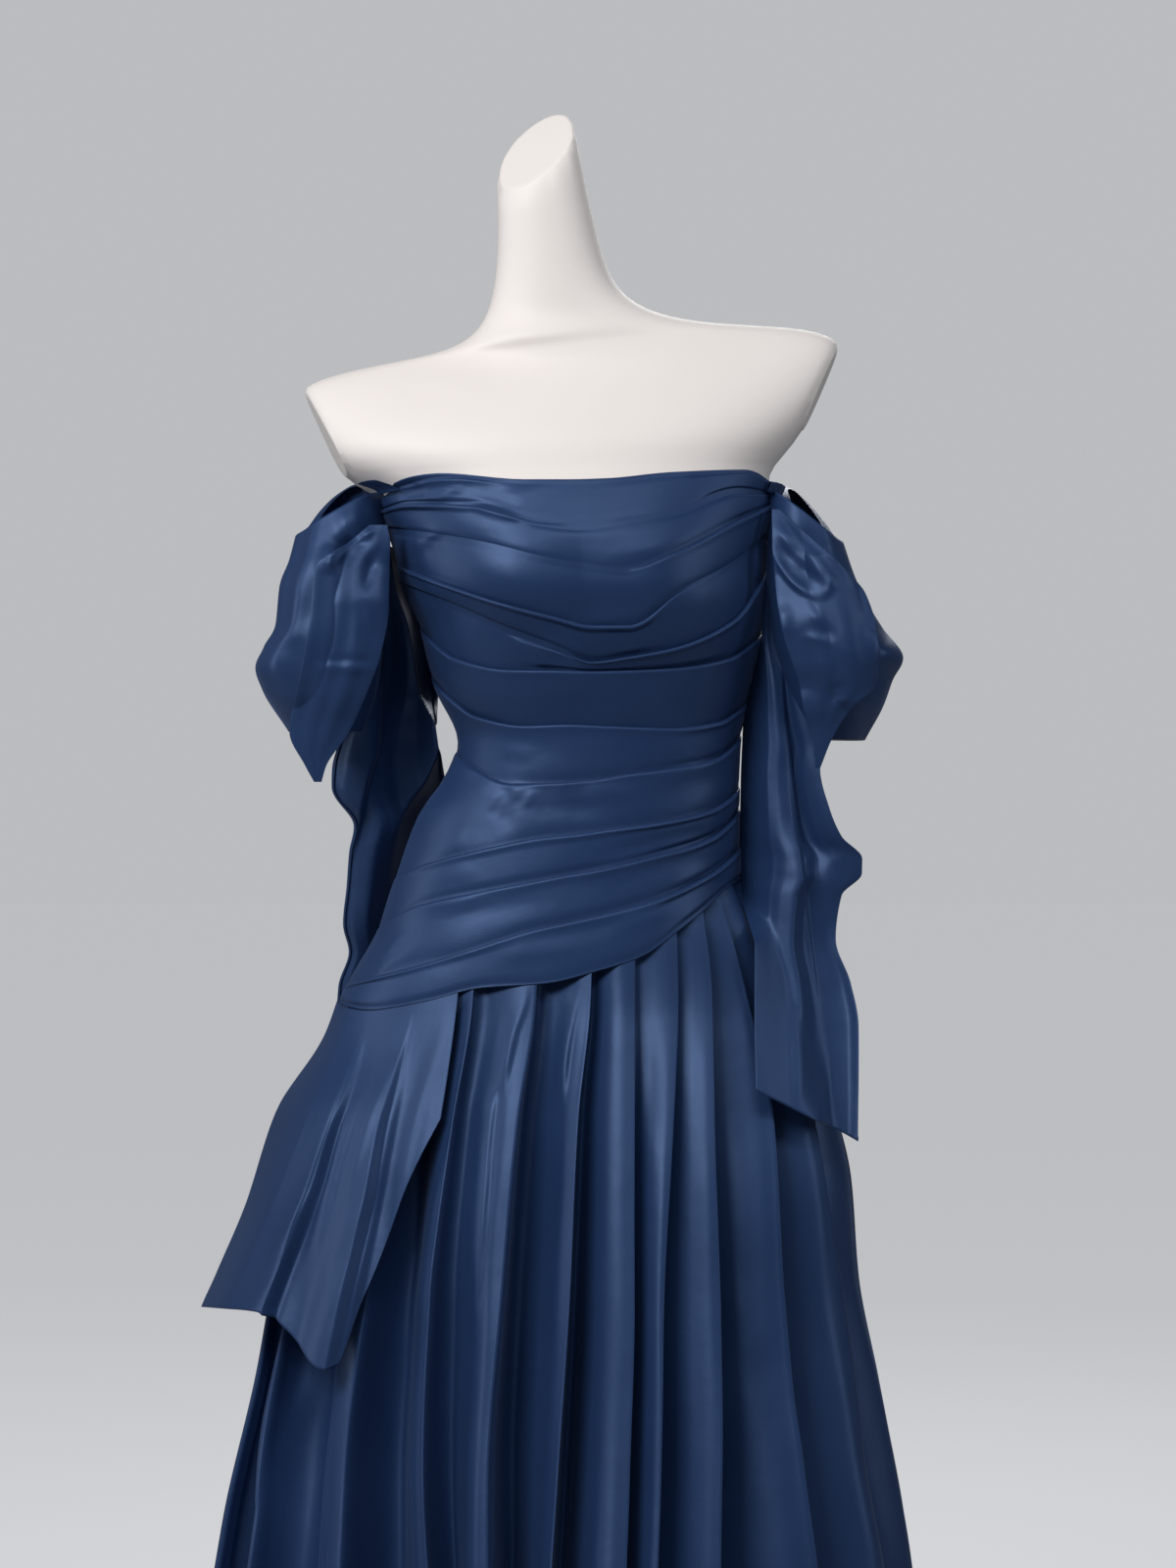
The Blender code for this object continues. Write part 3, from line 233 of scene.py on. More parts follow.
FAN_CURVE = 0.0095  # how far a fan's two sides fall back behind its middle

# The tails: height, x of one side, x of the other, y where nothing holds it off
TAIL_RIGHT = (
    (1.2600, -0.1640, -0.1480, 0.000),
    (1.2280, -0.1648, -0.1375, 0.004),
    (1.1900, -0.1660, -0.1245, 0.008),
    (1.1450, -0.1740, -0.1165, 0.010),
    (1.1180, -0.1860, -0.1170, 0.006),
    (1.0990, -0.1960, -0.1150, 0.010),
    (1.0770, -0.2020, -0.1120, 0.012),
    (1.0630, -0.2024, -0.1104, 0.016),
    (1.0310, -0.1848, -0.1128, 0.028),
    (1.0090, -0.1896, -0.1184, 0.040),
    (0.9800, -0.1928, -0.1264, 0.056),
    (0.9470, -0.1968, -0.1328, 0.074),
    (0.9254, -0.1928, -0.1376, 0.088),
    (0.8942, -0.2030, -0.1456, 0.108),
    (0.8574, -0.2060, -0.1520, 0.130),
    (0.7854, -0.2050, -0.1610, 0.160),
)
TAIL_LEFT = (
    (1.2600, 0.1530, 0.1652, -0.036),
    (1.2300, 0.1510, 0.1625, -0.036),
    (1.1930, 0.1485, 0.1612, -0.035),
    (1.1450, 0.1470, 0.1800, -0.040),
    (1.1130, 0.1456, 0.1900, -0.041),
    (1.0950, 0.1448, 0.1960, -0.042),
    (1.0774, 0.1440, 0.1944, -0.043),
    (1.0454, 0.1432, 0.2016, -0.045),
    (1.0230, 0.1424, 0.2112, -0.047),
    (1.0054, 0.1424, 0.2280, -0.050),
    (0.9934, 0.1416, 0.2280, -0.052),
    (0.9758, 0.1416, 0.2120, -0.054),
    (0.9406, 0.1408, 0.2072, -0.058),
    (0.9062, 0.1400, 0.2184, -0.064),
    (0.8726, 0.1392, 0.2240, -0.072),
    (0.7820, 0.1400, 0.2220, -0.090),
)
TAIL_FULL_WIDTH = 0.060  # a tail has its whole depth of folds from this width on
TAIL_CLEARANCE = {"at_knot": -0.0030, "where_wide": 0.015, "soft": 0.006}
TAIL_LEFT_HEM_RISE = 0.044

STRAP = {"height": 1.300, "off": 0.0034, "thick": 0.0015, "plump": 0.0006, "dent": 0.0003}
STRAP_SIZE = (28, 24)
# The tabs at the bodice's top corners: x of the middle, width, how far above its top edge, how far below
STRAPS = {"strap_right": (-0.149, 0.018, 0.0022, 0.0070), "strap_left": (0.156, 0.014, -0.0020, 0.0110)}

# The display form above the dress: height, tilt in degrees, right x, left x,
# depth in front, depth behind, y of the middle
FORM_UPPER = (
    (1.3122, 1.2, -0.1800, 0.1560, 0.0960, 0.0950, 0.000),
    (1.3382, 2.2, -0.2180, 0.1780, 0.0910, 0.0920, 0.002),
    (1.3718, 2.5, -0.2340, 0.2110, 0.0740, 0.0830, 0.004),
    (1.3980, 4.0, -0.2370, 0.2240, 0.0560, 0.0720, 0.008),
    (1.4120, 5.3, -0.2300, 0.2230, 0.0440, 0.0600, 0.010),
    (1.4210, 5.4, -0.2060, 0.1980, 0.0360, 0.0500, 0.011),
    (1.4250, 6.0, -0.1560, 0.1440, 0.0380, 0.0480, 0.011),
    (1.4270, 6.5, -0.1060, 0.0960, 0.0440, 0.0470, 0.011),
    (1.4366, 11.8, -0.0808, 0.0416, 0.0470, 0.0470, 0.011),
    (1.4590, 12.2, -0.0680, 0.0248, 0.0440, 0.0440, 0.010),
    (1.4934, 4.0, -0.0632, 0.0180, 0.0410, 0.0410, 0.006),
    (1.5382, 3.0, -0.0648, 0.0090, 0.0375, 0.0375, 0.000),
    (1.6080, 3.0, -0.0680, -0.0056, 0.0335, 0.0335, -0.007),
    (1.6400, 3.0, -0.0695, -0.0115, 0.0320, 0.0320, -0.010),
)
FORM_BOTTOM = 0.800
FORM_TOP_OF_TORSO = 1.296
FORM_RINGS = 22
FORM_NARROWING = 0.25  # below the waist seam, per metre of height
FORM_WAIST = {"height": 1.085, "tall": 0.045, "slimmer": 0.004}
FORM_CHEST = {"height": 1.270, "tall": 0.050, "slimmer": 0.002}
# The three flat cuts: a point on each, and its slope
NECK_CUT = {"point": (-0.0336, -0.004, 1.5834), "rise_x": 0.75, "rise_y": 0.95, "above": 1.47}
ARM_CUTS = (
    {"top": (-0.2262, 1.392), "foot": (-0.1860, 1.3086), "side": -1},
    {"top": (0.2160, 1.431), "foot": (0.1610, 1.3000), "side": 1},
)
ARM_CUT_FACES_FRONT = 0.10

ZIP = {
    "above_seam": 0.004,
    "cloth_gap": 0.0012,
    "tooth_step": 0.0013,
    "half_tape": 0.0035,
    "outside": -0.0018,
}
TOOTH = {"size": (0.0016, 0.0006, 0.0008), "aside": 0.0004, "off": 0.0004, "from_ends": 0.002}
ZIP_LINE = ((0.930, -0.006), (1.010, 0.000), (1.110, 0.007), (1.210, 0.006), (1.320, 0.000))

# ---------------------------------------------------------------- fine form: how finely each piece is made
BODICE_TURNS = 220
SKIRT_STEPS = 34  # columns from one free fold to the next
SKIRT_LEVELS = 150
SEAM_TUCK = 0.0009  # the front panel's side edges go in behind the back panel's
BACK_TURNS = 100
DRAPE_SIZE = (130, 230)
DRAPE_SEWN = 0.34  # over this share of its length it lifts off the waist seam
SLEEVE_SIZE = (90, 168)
FAN_SIZE = (150, 96)
TAIL_SIZE = (200, 110)
FORM_SIZE = (120, 96)
FORM_SMOOTH = {"from": 1.345, "over": 0.03, "times": 24}
RIM = {"radius": 0.005, "steps": 4}  # the rounded rims of the three cuts
FORM_THROAT = {"x": -0.022, "wide": 0.062, "height": 1.4215, "tall": 0.0150, "stands_out": 0.0120}
# The collar bones, as creases
FORM_BONES = (
    (-0.140, 1.398, -0.062, 1.372, 0.004, 0.0100, 2.0, 0.8),
    (0.040, 1.398, 0.120, 1.416, 0.004, 0.0100, 1.6, 0.8),
)
FINE_FAN_CLEARANCE = 0.0115

# A hem or folded edge: how far in (off the surface) and how far back, step by step
TURNED_EDGE = ((0.0006, 0.0001), (0.0012, 0.0008), (0.0014, 0.0040))
SIDE_FADE = {"over": 0.42, "least": 0.10}  # pleats lie flatter towards the side seams

# Across one bodice pleat, from its folded edge down to the next one:
# share of the drop, metres beyond that share, share of this edge's relief, share of the next edge's relief
PLEAT_STEPS = (
    (0.0, 0.0000, 0.50, 0.0),
    (0.0, 0.0006, 0.86, 0.0),
    (0.0, 0.0014, 1.03, 0.0),
    (0.0, 0.0026, 1.06, 0.0),
    (0.0, 0.0040, 1.00, 0.0),
    (0.14, 0.0, 0.84, 0.0),
    (0.26, 0.0, 0.70, 0.0),
    (0.38, 0.0, 0.59, 0.0),
    (0.50, 0.0, 0.49, 0.0),
    (0.62, 0.0, 0.40, 0.0),
    (0.74, 0.0, 0.31, 0.0),
    (0.86, 0.0, 0.21, 0.0),
    (1.0, -0.0032, 0.11, 0.0),
    (1.0, -0.0014, 0.04, 0.0),
    (1.0, 0.0006, 0.00, 0.0),
    (1.0, 0.0024, 0.00, 0.02),
    (1.0, 0.0028, 0.00, 0.14),
    (1.0, 0.0020, 0.00, 0.26),
    (1.0, 0.0008, 0.00, 0.36),
)
PLEAT_FULLNESS = 1.2
PLEAT_WHOLE_DROP = 0.016  # pleats that are less tall than this have smaller turns
PLAIN_LAP = {"first": -0.0030, "step": 0.0004}  # rows where an edge isn't undercut
DEEPEST = 0.0012  # how far a trough may sink below the panel
TUCK_DROP = 0.0035  # beyond its edge a tuck falls back within this distance
SLEEVE_LIPS = (0.010, 0.004, 0.001)  # how far each sleeve's ends turn in
PLEAT_FULL_FROM = 0.0022  # an edge that stands out less than this isn't undercut fully

# Across one skirt pleat, from a free fold to the next: step, share of the width, share of the depth
FOLD_CURVE = (
    (0.00, 0.000, 0.000),
    (0.04, 0.014, 0.020),
    (0.08, 0.016, 0.110),
    (0.13, -0.006, 0.310),
    (0.20, -0.016, 0.620),
    (0.28, 0.030, 0.900),
    (0.36, 0.130, 1.000),
    (0.50, 0.340, 0.780),
    (0.70, 0.630, 0.350),
    (0.86, 0.845, 0.085),
    (1.00, 1.000, 0.000),
)
# Each pleat in front: its depth, and its slope (above 1, a narrow hollow and a flat face)
FOLD_DEPTHS = (0.9, 1.0, 1.25, 0.8, 1.3, 1.25, 0.8, 0.9, 1.2, 1.0, 0.8)
FOLD_RAMPS = (1.0, 1.0, 0.75, 1.2, 0.7, 2.2, 1.3, 1.0, 0.7, 1.1, 1.0)
FINE_PLEAT_DEPTH = (
    (0.012, 0.060),
    (0.430, 0.052),
    (0.600, 0.041),
    (0.760, 0.028),
    (0.850, 0.017),
    (0.930, 0.0090),
    (0.990, 0.0035),
)
BACK_FOLD_DEPTHS = (0.9, 1.1, 0.95, 1.2, 0.85, 1.15, 0.9, 1.1, 1.0, 0.9)

# Creases: x and height of one end, of the other end, how far it bows, half width, height (mm; below 0 a
# trough), and how sharp its lower side is (1 is even, 0.3 is a fold's edge)
CREASES = {"height": 0.75, "width": 1.25, "taper": 0.42}
BODICE_CREASES = (
    # corner fold, wearer's right
    (-0.165, 1.289, -0.090, 1.293, 0.004, 0.0050, 2.6, 0.4),
    (-0.094, 1.294, -0.038, 1.279, -0.001, 0.0045, 2.8, 0.35),
    (-0.090, 1.301, -0.045, 1.292, 0.002, 0.0060, -2.2, 1.0),
    (-0.118, 1.296, -0.088, 1.309, 0.002, 0.0040, 2.4, 0.6),
    (-0.148, 1.302, -0.122, 1.305, 0.000, 0.0060, -2.6, 1.0),
    (-0.080, 1.300, -0.012, 1.312, -0.004, 0.0055, 1.8, 0.7),
    (-0.140, 1.250, -0.104, 1.273, 0.004, 0.0050, 2.2, 0.5),
    (-0.126, 1.247, -0.106, 1.262, 0.003, 0.0050, -1.8, 1.0),
    # across the bust
    (-0.075, 1.262, 0.095, 1.262, -0.002, 0.0130, 1.6, 1.0),
    (-0.060, 1.268, 0.120, 1.271, -0.002, 0.0030, 0.7, 0.5),
    (0.010, 1.246, 0.115, 1.275, -0.003, 0.0060, 1.8, 0.45),
    (-0.100, 1.240, 0.040, 1.222, -0.003, 0.0120, 0.9, 1.0),
    (-0.010, 1.214, 0.075, 1.218, -0.004, 0.0080, -1.2, 1.0),
    (-0.005, 1.2005, 0.078, 1.222, -0.010, 0.0022, 1.5, 0.5),
    (0.080, 1.213, 0.150, 1.232, -0.002, 0.0090, 1.3, 1.0),
    (-0.040, 1.181, 0.012, 1.168, 0.000, 0.0060, 2.0, 0.6),
    (-0.120, 1.192, -0.020, 1.172, -0.004, 0.0080, 0.9, 1.0),
    (0.146, 1.262, 0.149, 1.222, 0.000, 0.0035, 1.8, 0.6),
    (0.140, 1.268, 0.143, 1.220, 0.000, 0.0035, -1.8, 1.0),
    (-0.151, 1.262, -0.146, 1.225, 0.000, 0.0040, -2.0, 1.0),
    # midriff
    (-0.110, 1.135, -0.060, 1.131, 0.002, 0.0060, 0.9, 0.8),
    (0.060, 1.148, 0.130, 1.152, 0.000, 0.0060, 0.8, 0.8),
    (-0.075, 1.092, -0.030, 1.087, 0.002, 0.0050, 1.6, 0.5),
    (-0.040, 1.100, 0.060, 1.098, 0.000, 0.0070, 0.9, 0.8),
    # below the waist's folded edge
    (-0.062, 1.063, -0.026, 1.049, 0.000, 0.0045, 2.8, 0.45),
    (-0.048, 1.045, 0.030, 1.043, 0.002, 0.0050, -2.2, 1.0),
    (-0.010, 1.056, 0.060, 1.059, 0.001, 0.0050, 1.5, 0.6),
    (-0.092, 1.068, -0.056, 1.038, 0.003, 0.0045, 2.2, 0.5),
    (-0.078, 1.048, -0.050, 1.030, 0.003, 0.0050, -2.0, 1.0),
    (0.050, 1.062, 0.128, 1.080, 0.004, 0.0040, 1.2, 0.5),
    (0.060, 1.050, 0.130, 1.070, 0.004, 0.0040, -1.0, 1.0),
    (-0.122, 1.012, -0.088, 1.015, 0.002, 0.0045, 1.8, 0.5),
    (-0.100, 1.020, -0.040, 1.030, 0.002, 0.0070, -1.0, 1.0),
    # hip pleats
    (-0.132, 0.988, -0.070, 0.992, 0.002, 0.0090, 1.4, 0.8),
    (0.020, 1.012, 0.120, 1.034, 0.004, 0.0035, 1.1, 0.5),
    (0.000, 1.000, 0.124, 1.028, 0.005, 0.0045, -1.0, 1.0),
    (-0.146, 0.958, -0.060, 0.972, 0.002, 0.0040, 1.9, 0.45),
    (-0.130, 0.952, -0.010, 0.972, 0.002, 0.0060, -1.5, 1.0),
    (-0.020, 0.978, 0.122, 1.012, 0.008, 0.0040, 1.2, 0.5),
    (0.010, 0.972, 0.126, 1.003, 0.008, 0.0040, -1.1, 1.0),
    (0.060, 0.976, 0.130, 0.997, 0.003, 0.0060, 1.6, 0.7),
    (-0.172, 0.903, -0.120, 0.934, 0.004, 0.0040, 2.2, 0.5),
    (-0.166, 0.915, -0.132, 0.944, 0.003, 0.0040, 1.6, 0.5),
    (-0.160, 0.912, -0.090, 0.928, 0.002, 0.0060, -1.4, 1.0),
    (-0.080, 0.921, 0.010, 0.933, 0.002, 0.0070, 1.4, 0.7),
    (-0.050, 0.935, 0.060, 0.952, 0.003, 0.0050, -1.1, 1.0),
    (0.010, 0.936, 0.110, 0.965, 0.006, 0.0060, 1.5, 0.6),
)
BACK_CREASES = (
    (-0.140, 1.262, -0.050, 1.252, -0.003, 0.0080, 1.2, 0.7),
    (0.045, 1.258, 0.140, 1.266, -0.003, 0.0080, 1.2, 0.7),
    (-0.118, 1.205, -0.040, 1.199, -0.002, 0.0060, 1.0, 0.6),
    (0.040, 1.190, 0.130, 1.198, -0.002, 0.0060, 1.0, 0.6),
    (-0.112, 1.140, -0.050, 1.133, 0.000, 0.0060, 1.0, 0.6),
    (0.050, 1.128, 0.120, 1.140, 0.000, 0.0060, 1.1, 0.6),
    (-0.095, 1.075, -0.030, 1.071, 0.002, 0.0050, 1.6, 0.5),
    (0.030, 1.078, 0.120, 1.092, 0.002, 0.0050, 1.4, 0.5),
    (-0.110, 1.030, -0.030, 1.035, 0.002, 0.0060, -1.2, 1.0),
    (-0.135, 0.985, -0.030, 1.000, 0.003, 0.0050, 1.6, 0.5),
    (0.020, 1.018, 0.120, 1.038, 0.003, 0.0050, 1.3, 0.5),
    (-0.155, 0.935, -0.030, 0.958, 0.003, 0.0060, 1.6, 0.6),
    (0.020, 0.975, 0.120, 1.000, 0.003, 0.0050, 1.3, 0.6),
    (-0.165, 0.905, -0.060, 0.920, 0.002, 0.0060, 1.2, 0.8),
)
FAN_RIGHT_CREASES = (
    (-0.204, 1.236, -0.160, 1.276, 0.006, 0.0060, 6.0, 0.5),
    (-0.197, 1.262, -0.170, 1.268, 0.000, 0.0055, -6.0, 1.0),
    (-0.207, 1.235, -0.196, 1.262, 0.000, 0.0050, 5.0, 0.6),
    (-0.166, 1.262, -0.176, 1.215, 0.000, 0.0045, -4.5, 1.0),
    (-0.159, 1.262, -0.160, 1.185, 0.003, 0.0070, 3.5, 1.0),
    (-0.180, 1.226, -0.176, 1.170, 0.002, 0.0040, -1.5, 1.0),
    (-0.220, 1.1660, -0.150, 1.1650, 0.001, 0.0035, -1.8, 1.0),
    (-0.220, 1.1600, -0.160, 1.1570, 0.001, 0.0055, 1.9, 0.6),
    (-0.210, 1.120, -0.170, 1.150, 0.000, 0.0120, 1.6, 1.0),
    (-0.225, 1.140, -0.214, 1.100, 0.000, 0.0060, -1.6, 1.0),
)
FAN_LEFT_CREASES = (
    (0.156, 1.285, 0.214, 1.226, -0.005, 0.0070, 6.5, 0.7),
    (0.160, 1.268, 0.196, 1.224, 0.002, 0.0085, -7.0, 1.0),
    (0.157, 1.264, 0.200, 1.214, -0.009, 0.0040, 4.5, 0.5),
    (0.196, 1.214, 0.210, 1.240, -0.002, 0.0045, 2.5, 0.7),
    (0.168, 1.215, 0.166, 1.180, 0.000, 0.0060, 2.5, 1.0),
    (0.180, 1.194, 0.214, 1.183, 0.002, 0.0050, -1.8, 1.0),
    (0.178, 1.186, 0.216, 1.176, 0.002, 0.0045, 1.4, 0.6),
    (0.190, 1.196, 0.204, 1.204, 0.002, 0.0060, 1.8, 1.0),
    (0.178, 1.150, 0.192, 1.110, 0.000, 0.0080, 1.8, 1.0),
    (0.206, 1.150, 0.214, 1.130, 0.000, 0.0090, -2.4, 1.0),
    (0.228, 1.210, 0.232, 1.160, 0.002, 0.0070, -2.4, 1.0),
)
SKIRT_CREASES = (
    (-0.112, 0.700, -0.150, 0.560, 0.004, 0.0090, 3.0, 0.6),
    (-0.176, 0.640, -0.262, 0.470, 0.000, 0.0100, 3.5, 0.6),
    (-0.052, 0.760, -0.070, 0.600, 0.002, 0.0080, -2.5, 1.0),
    (0.120, 0.665, 0.158, 0.585, 0.004, 0.0160, 2.4, 0.8),
    (0.136, 0.610, 0.176, 0.520, 0.004, 0.0140, -2.0, 1.0),
    (0.230, 0.560, 0.262, 0.430, 0.000, 0.0120, -2.5, 1.0),
    (0.004, 0.820, -0.004, 0.700, 0.000, 0.0060, 1.5, 0.8),
    (0.060, 0.880, 0.058, 0.760, 0.000, 0.0060, -1.6, 1.0),
)
# Folds that run down a cloth: how wide the rise is, then height, x of the edge, how far it stands out (mm)
SKIRT_TUCKS = (
    (
        0.045,
        (
            (0.660, -0.190, 0.0), (0.600, -0.198, 7.0), (0.538, -0.230, 5.0), (0.483, -0.262, 1.5),
            (0.455, -0.280, 0.0),
        ),
    ),
    (
        0.012,
        (
            (0.930, -0.050, 0.0), (0.895, -0.042, 4.0), (0.860, -0.052, 5.0), (0.810, -0.062, 0.0),
        ),
    ),
    (
        0.010,
        (
            (0.900, 0.002, 0.0), (0.880, -0.003, 3.5), (0.840, -0.010, 4.0), (0.800, -0.013, 0.0),
        ),
    ),
    (
        0.014,
        (
            (0.820, -0.066, 0.0), (0.800, -0.070, 3.0), (0.700, -0.078, 4.0), (0.620, -0.086, 0.0),
        ),
    ),
)
SKIRT_BACK_CREASES = (
    (-0.120, 0.700, -0.160, 0.520, 0.004, 0.0090, 3.0, 0.6),
    (0.040, 0.720, 0.052, 0.540, 0.002, 0.0090, -2.5, 1.0),
    (0.150, 0.600, 0.190, 0.420, 0.004, 0.0110, 3.0, 0.7),
    (-0.040, 0.480, -0.060, 0.300, 0.004, 0.0120, -3.0, 1.0),
)
DRAPE_FOLDS = (
    (
        0.024,
        (
            (0.960, -0.158, 1.0), (0.885, -0.170, 3.5), (0.814, -0.185, 6.0), (0.785, -0.195, 7.0),
            (0.731, -0.210, 9.0), (0.638, -0.247, 12.0),
        ),
    ),
    (
        0.030,
        (
            (0.960, -0.120, 1.0), (0.890, -0.134, 3.5), (0.814, -0.152, 6.0), (0.785, -0.159, 7.0),
            (0.730, -0.168, 9.0), (0.705, -0.174, 10.0), (0.590, -0.199, 8.0),
        ),
    ),
)
DRAPE_CREASES = (
    (-0.112, 0.860, -0.150, 0.700, 0.004, 0.0060, 2.0, 0.6),
    (-0.140, 0.860, -0.190, 0.700, 0.004, 0.0060, 2.0, 0.6),
    (-0.160, 0.850, -0.215, 0.660, 0.006, 0.0070, 2.5, 0.5),
    (-0.150, 0.760, -0.196, 0.640, 0.002, 0.0080, -2.5, 1.0),
    (-0.200, 0.740, -0.250, 0.660, 0.004, 0.0080, 2.2, 0.7),
)
# Across a tail, and its folds there: share of the way down, millimetres back (below 0, forward)
TAIL_ACROSS = (0.0, 0.15, 0.3, 0.45, 0.6, 0.75, 0.9, 1.0)
TAIL_RIGHT_DEPTHS = (
    (0.00, (0, 0, 0, 0, 0, 0, 0, 0)),
    (0.15, (2, 0, 4, 12, 16, 14, 8, 2)),
    (0.26, (4, 0, 6, 18, 24, 22, 12, 4)),
    (0.40, (7, 1, 2, 10, 20, 18, 10, 4)),
    (0.52, (6, -2, -8, 0, 9, 12, 5, 0)),
    (0.66, (4, -5, -6, 3, 9, 4, -3, 0)),
    (0.84, (2, -7, 0, 8, 3, -6, 0, 5)),
    (1.00, (0, -7, 3, 9, 0, -8, 3, 7)),
)
TAIL_RIGHT_TUCKS = (
    (
        0.026,
        (
            (1.190, -0.160, 0.0), (1.145, -0.162, 9.0), (1.100, -0.163, 13.0), (1.067, -0.172, 11.0),
            (1.032, -0.179, 5.0), (1.000, -0.186, 0.0),
        ),
    ),
)
TAIL_LEFT_TUCKS = (
    (
        0.010,
        (
            (1.180, 0.164, 0.0), (1.120, 0.168, 4.0), (1.050, 0.176, 5.0), (0.960, 0.186, 4.0),
            (0.880, 0.196, 0.0),
        ),
    ),
)
# The left tail's inner edge curls back between these heights
TAIL_CURL = {"share": 0.17, "aside": 0.0115, "back": 0.034, "from": 1.185, "to": 0.940, "over": 0.035}
TAIL_LEFT_DEPTHS = (
    (0.00, (0, 0, 0, 0, 0, 0, 0, 0)),
    (0.24, (0, 1, -1, 2, 4, -2, -5, -5)),
    (0.48, (2, -3, -5, 0, 8, 0, -7, -10)),
    (0.62, (3, 0, -7, -10, 3, 7, 10, 12)),
    (0.81, (2, 0, -4, -10, 7, 12, 15, 10)),
    (1.00, (2, -1, 0, -4, -9, 8, 11, 6)),
)
SLEEVE_LAP = 0.0145  # how far the front wall laps over the bodice's side
# How much the top edge rises in front, behind, and at the corner near the body
SLEEVE_RIGHT_LIFT = {"front": -0.002, "back": 0.022, "corner": 0.016}
SLEEVE_LEFT_LIFT = {"front": -0.008, "back": 0.014, "corner": 0.018}
SLEEVE_RIGHT_CREASES = (
    (-0.200, 1.272, -0.168, 1.284, 0.003, 0.0090, 4.5, 1.0),
    (-0.200, 1.253, -0.178, 1.263, 0.000, 0.0070, -10.0, 1.0),
    (-0.209, 1.236, -0.197, 1.262, 0.001, 0.0055, 7.0, 0.7),
    (-0.226, 1.250, -0.232, 1.170, 0.002, 0.0110, 3.0, 1.0),
    (-0.216, 1.250, -0.230, 1.130, 0.000, 0.0080, -4.0, 1.0),
    (-0.246, 1.205, -0.222, 1.130, 0.000, 0.0100, -3.0, 1.0),
)
SLEEVE_LEFT_CREASES = (
    (0.166, 1.280, 0.216, 1.240, 0.002, 0.0070, -4.0, 1.0),
    (0.166, 1.262, 0.200, 1.226, 0.000, 0.0120, -8.0, 1.0),
    (0.232, 1.236, 0.250, 1.180, 0.002, 0.0080, 4.0, 1.0),
    (0.236, 1.200, 0.246, 1.130, 0.000, 0.0100, -4.0, 1.0),
    (0.246, 1.178, 0.262, 1.168, 0.000, 0.0080, 3.0, 0.6),
    (0.215, 1.160, 0.235, 1.118, 0.000, 0.0080, 3.0, 1.0),
)
TAIL_RIGHT_CREASES = (
    (-0.200, 1.078, -0.184, 1.030, 0.000, 0.0050, 3.0, 0.7),
    (-0.166, 1.130, -0.196, 1.080, 0.000, 0.0080, 2.0, 1.0),
    (-0.180, 0.985, -0.160, 0.930, 0.002, 0.0070, 2.0, 0.8),
)
TAIL_LEFT_CREASES = (
    (0.165, 1.165, 0.190, 1.060, 0.004, 0.0060, 3.0, 0.8),
    (0.190, 1.050, 0.206, 0.940, 0.004, 0.0070, 2.5, 0.6),
    (0.176, 1.020, 0.186, 0.880, 0.004, 0.0060, -3.0, 1.0),
    (0.200, 1.005, 0.222, 1.002, 0.002, 0.0060, 2.0, 1.0),
)

SATIN = {
    "low": (0.0115, 0.029, 0.088),
    "high": (0.0155, 0.038, 0.110),
    "rough": 0.43,
    "specular": 0.62,
    "tint": (0.38, 0.57, 1.0),
    "sheen": 0.14,
    "sheen_rough": 0.35,
    "sheen_tint": (0.35, 0.5, 0.9),
}
TAPE = {"low": (0.008, 0.014, 0.035), "high": (0.016, 0.028, 0.065), "rough": 0.7}
FORM_SKIN = {"low": (0.80, 0.755, 0.735), "high": (0.845, 0.80, 0.78), "rough": 0.52, "specular": 0.4}
STEEL = {"low": (0.52, 0.52, 0.54), "high": (0.68, 0.68, 0.70), "rough": 0.34}
WORLD = {"colour": (0.80, 0.83, 0.88), "strength": 0.075, "seen": (0.62, 0.63, 0.65), "seen_strength": 0.80}
# name, place, aim, size, watts, colour
LIGHTS = (
    ("key", (-1.9, -2.6, 2.9), (0.0, 0.0, 1.0), (2.0, 1.0), 92.0, (1.0, 0.985, 0.97)),
    ("front", (0.5, -2.4, 3.5), (0.0, 0.0, 1.1), (2.6, 0.7), 34.0, (1.0, 0.99, 0.98)),
    ("left", (-2.6, -0.2, 1.5), (0.0, 0.0, 0.8), (0.5, 2.0), 14.0, (0.92, 0.96, 1.0)),
    ("right", (2.4, -0.9, 1.7), (0.0, 0.0, 0.9), (0.5, 2.0), 12.0, (0.92, 0.96, 1.0)),
    ("behind", (0.8, 2.8, 2.8), (0.0, 0.0, 1.0), (1.6, 1.2), 32.0, (1.0, 1.0, 1.0)),
)
FLOOR = {"half": 30.0, "z": -0.001}
FLOOR_GLOW = 0.77  # what the floor adds towards the camera, so that it runs out to the room's colour
CAMERA = {"x": 0.008, "distance": 3.0, "height": 1.0654, "frame_height": 1.28}

# Each cloth's uneven waves: their length across and down, and their height
WAVES = {
    "bodice": (0.12, 0.10, 0.0003),
    "skirt_long": (0.060, 0.75, 0.0050),
    "skirt_short": (0.028, 0.30, 0.0013),
    "hip_drape": (0.05, 0.25, 0.0012),
    "sleeve": (0.045, 0.16, 0.0030),
    "fan": (0.06, 0.12, 0.0008),
    "tail": (0.05, 0.22, 0.0014),
}
# What they are drawn from
SEEDS = {
    "bodice_front": 11,
    "bodice_back": 12,
    "skirt_front": 21,
    "skirt_back": 31,
    "hip_drape": 41,
    "sleeve_right": 51,
    "sleeve_left": 52,
    "fan_right": 61,
    "fan_left": 62,
    "tail_right": 71,
    "tail_left": 72,
}


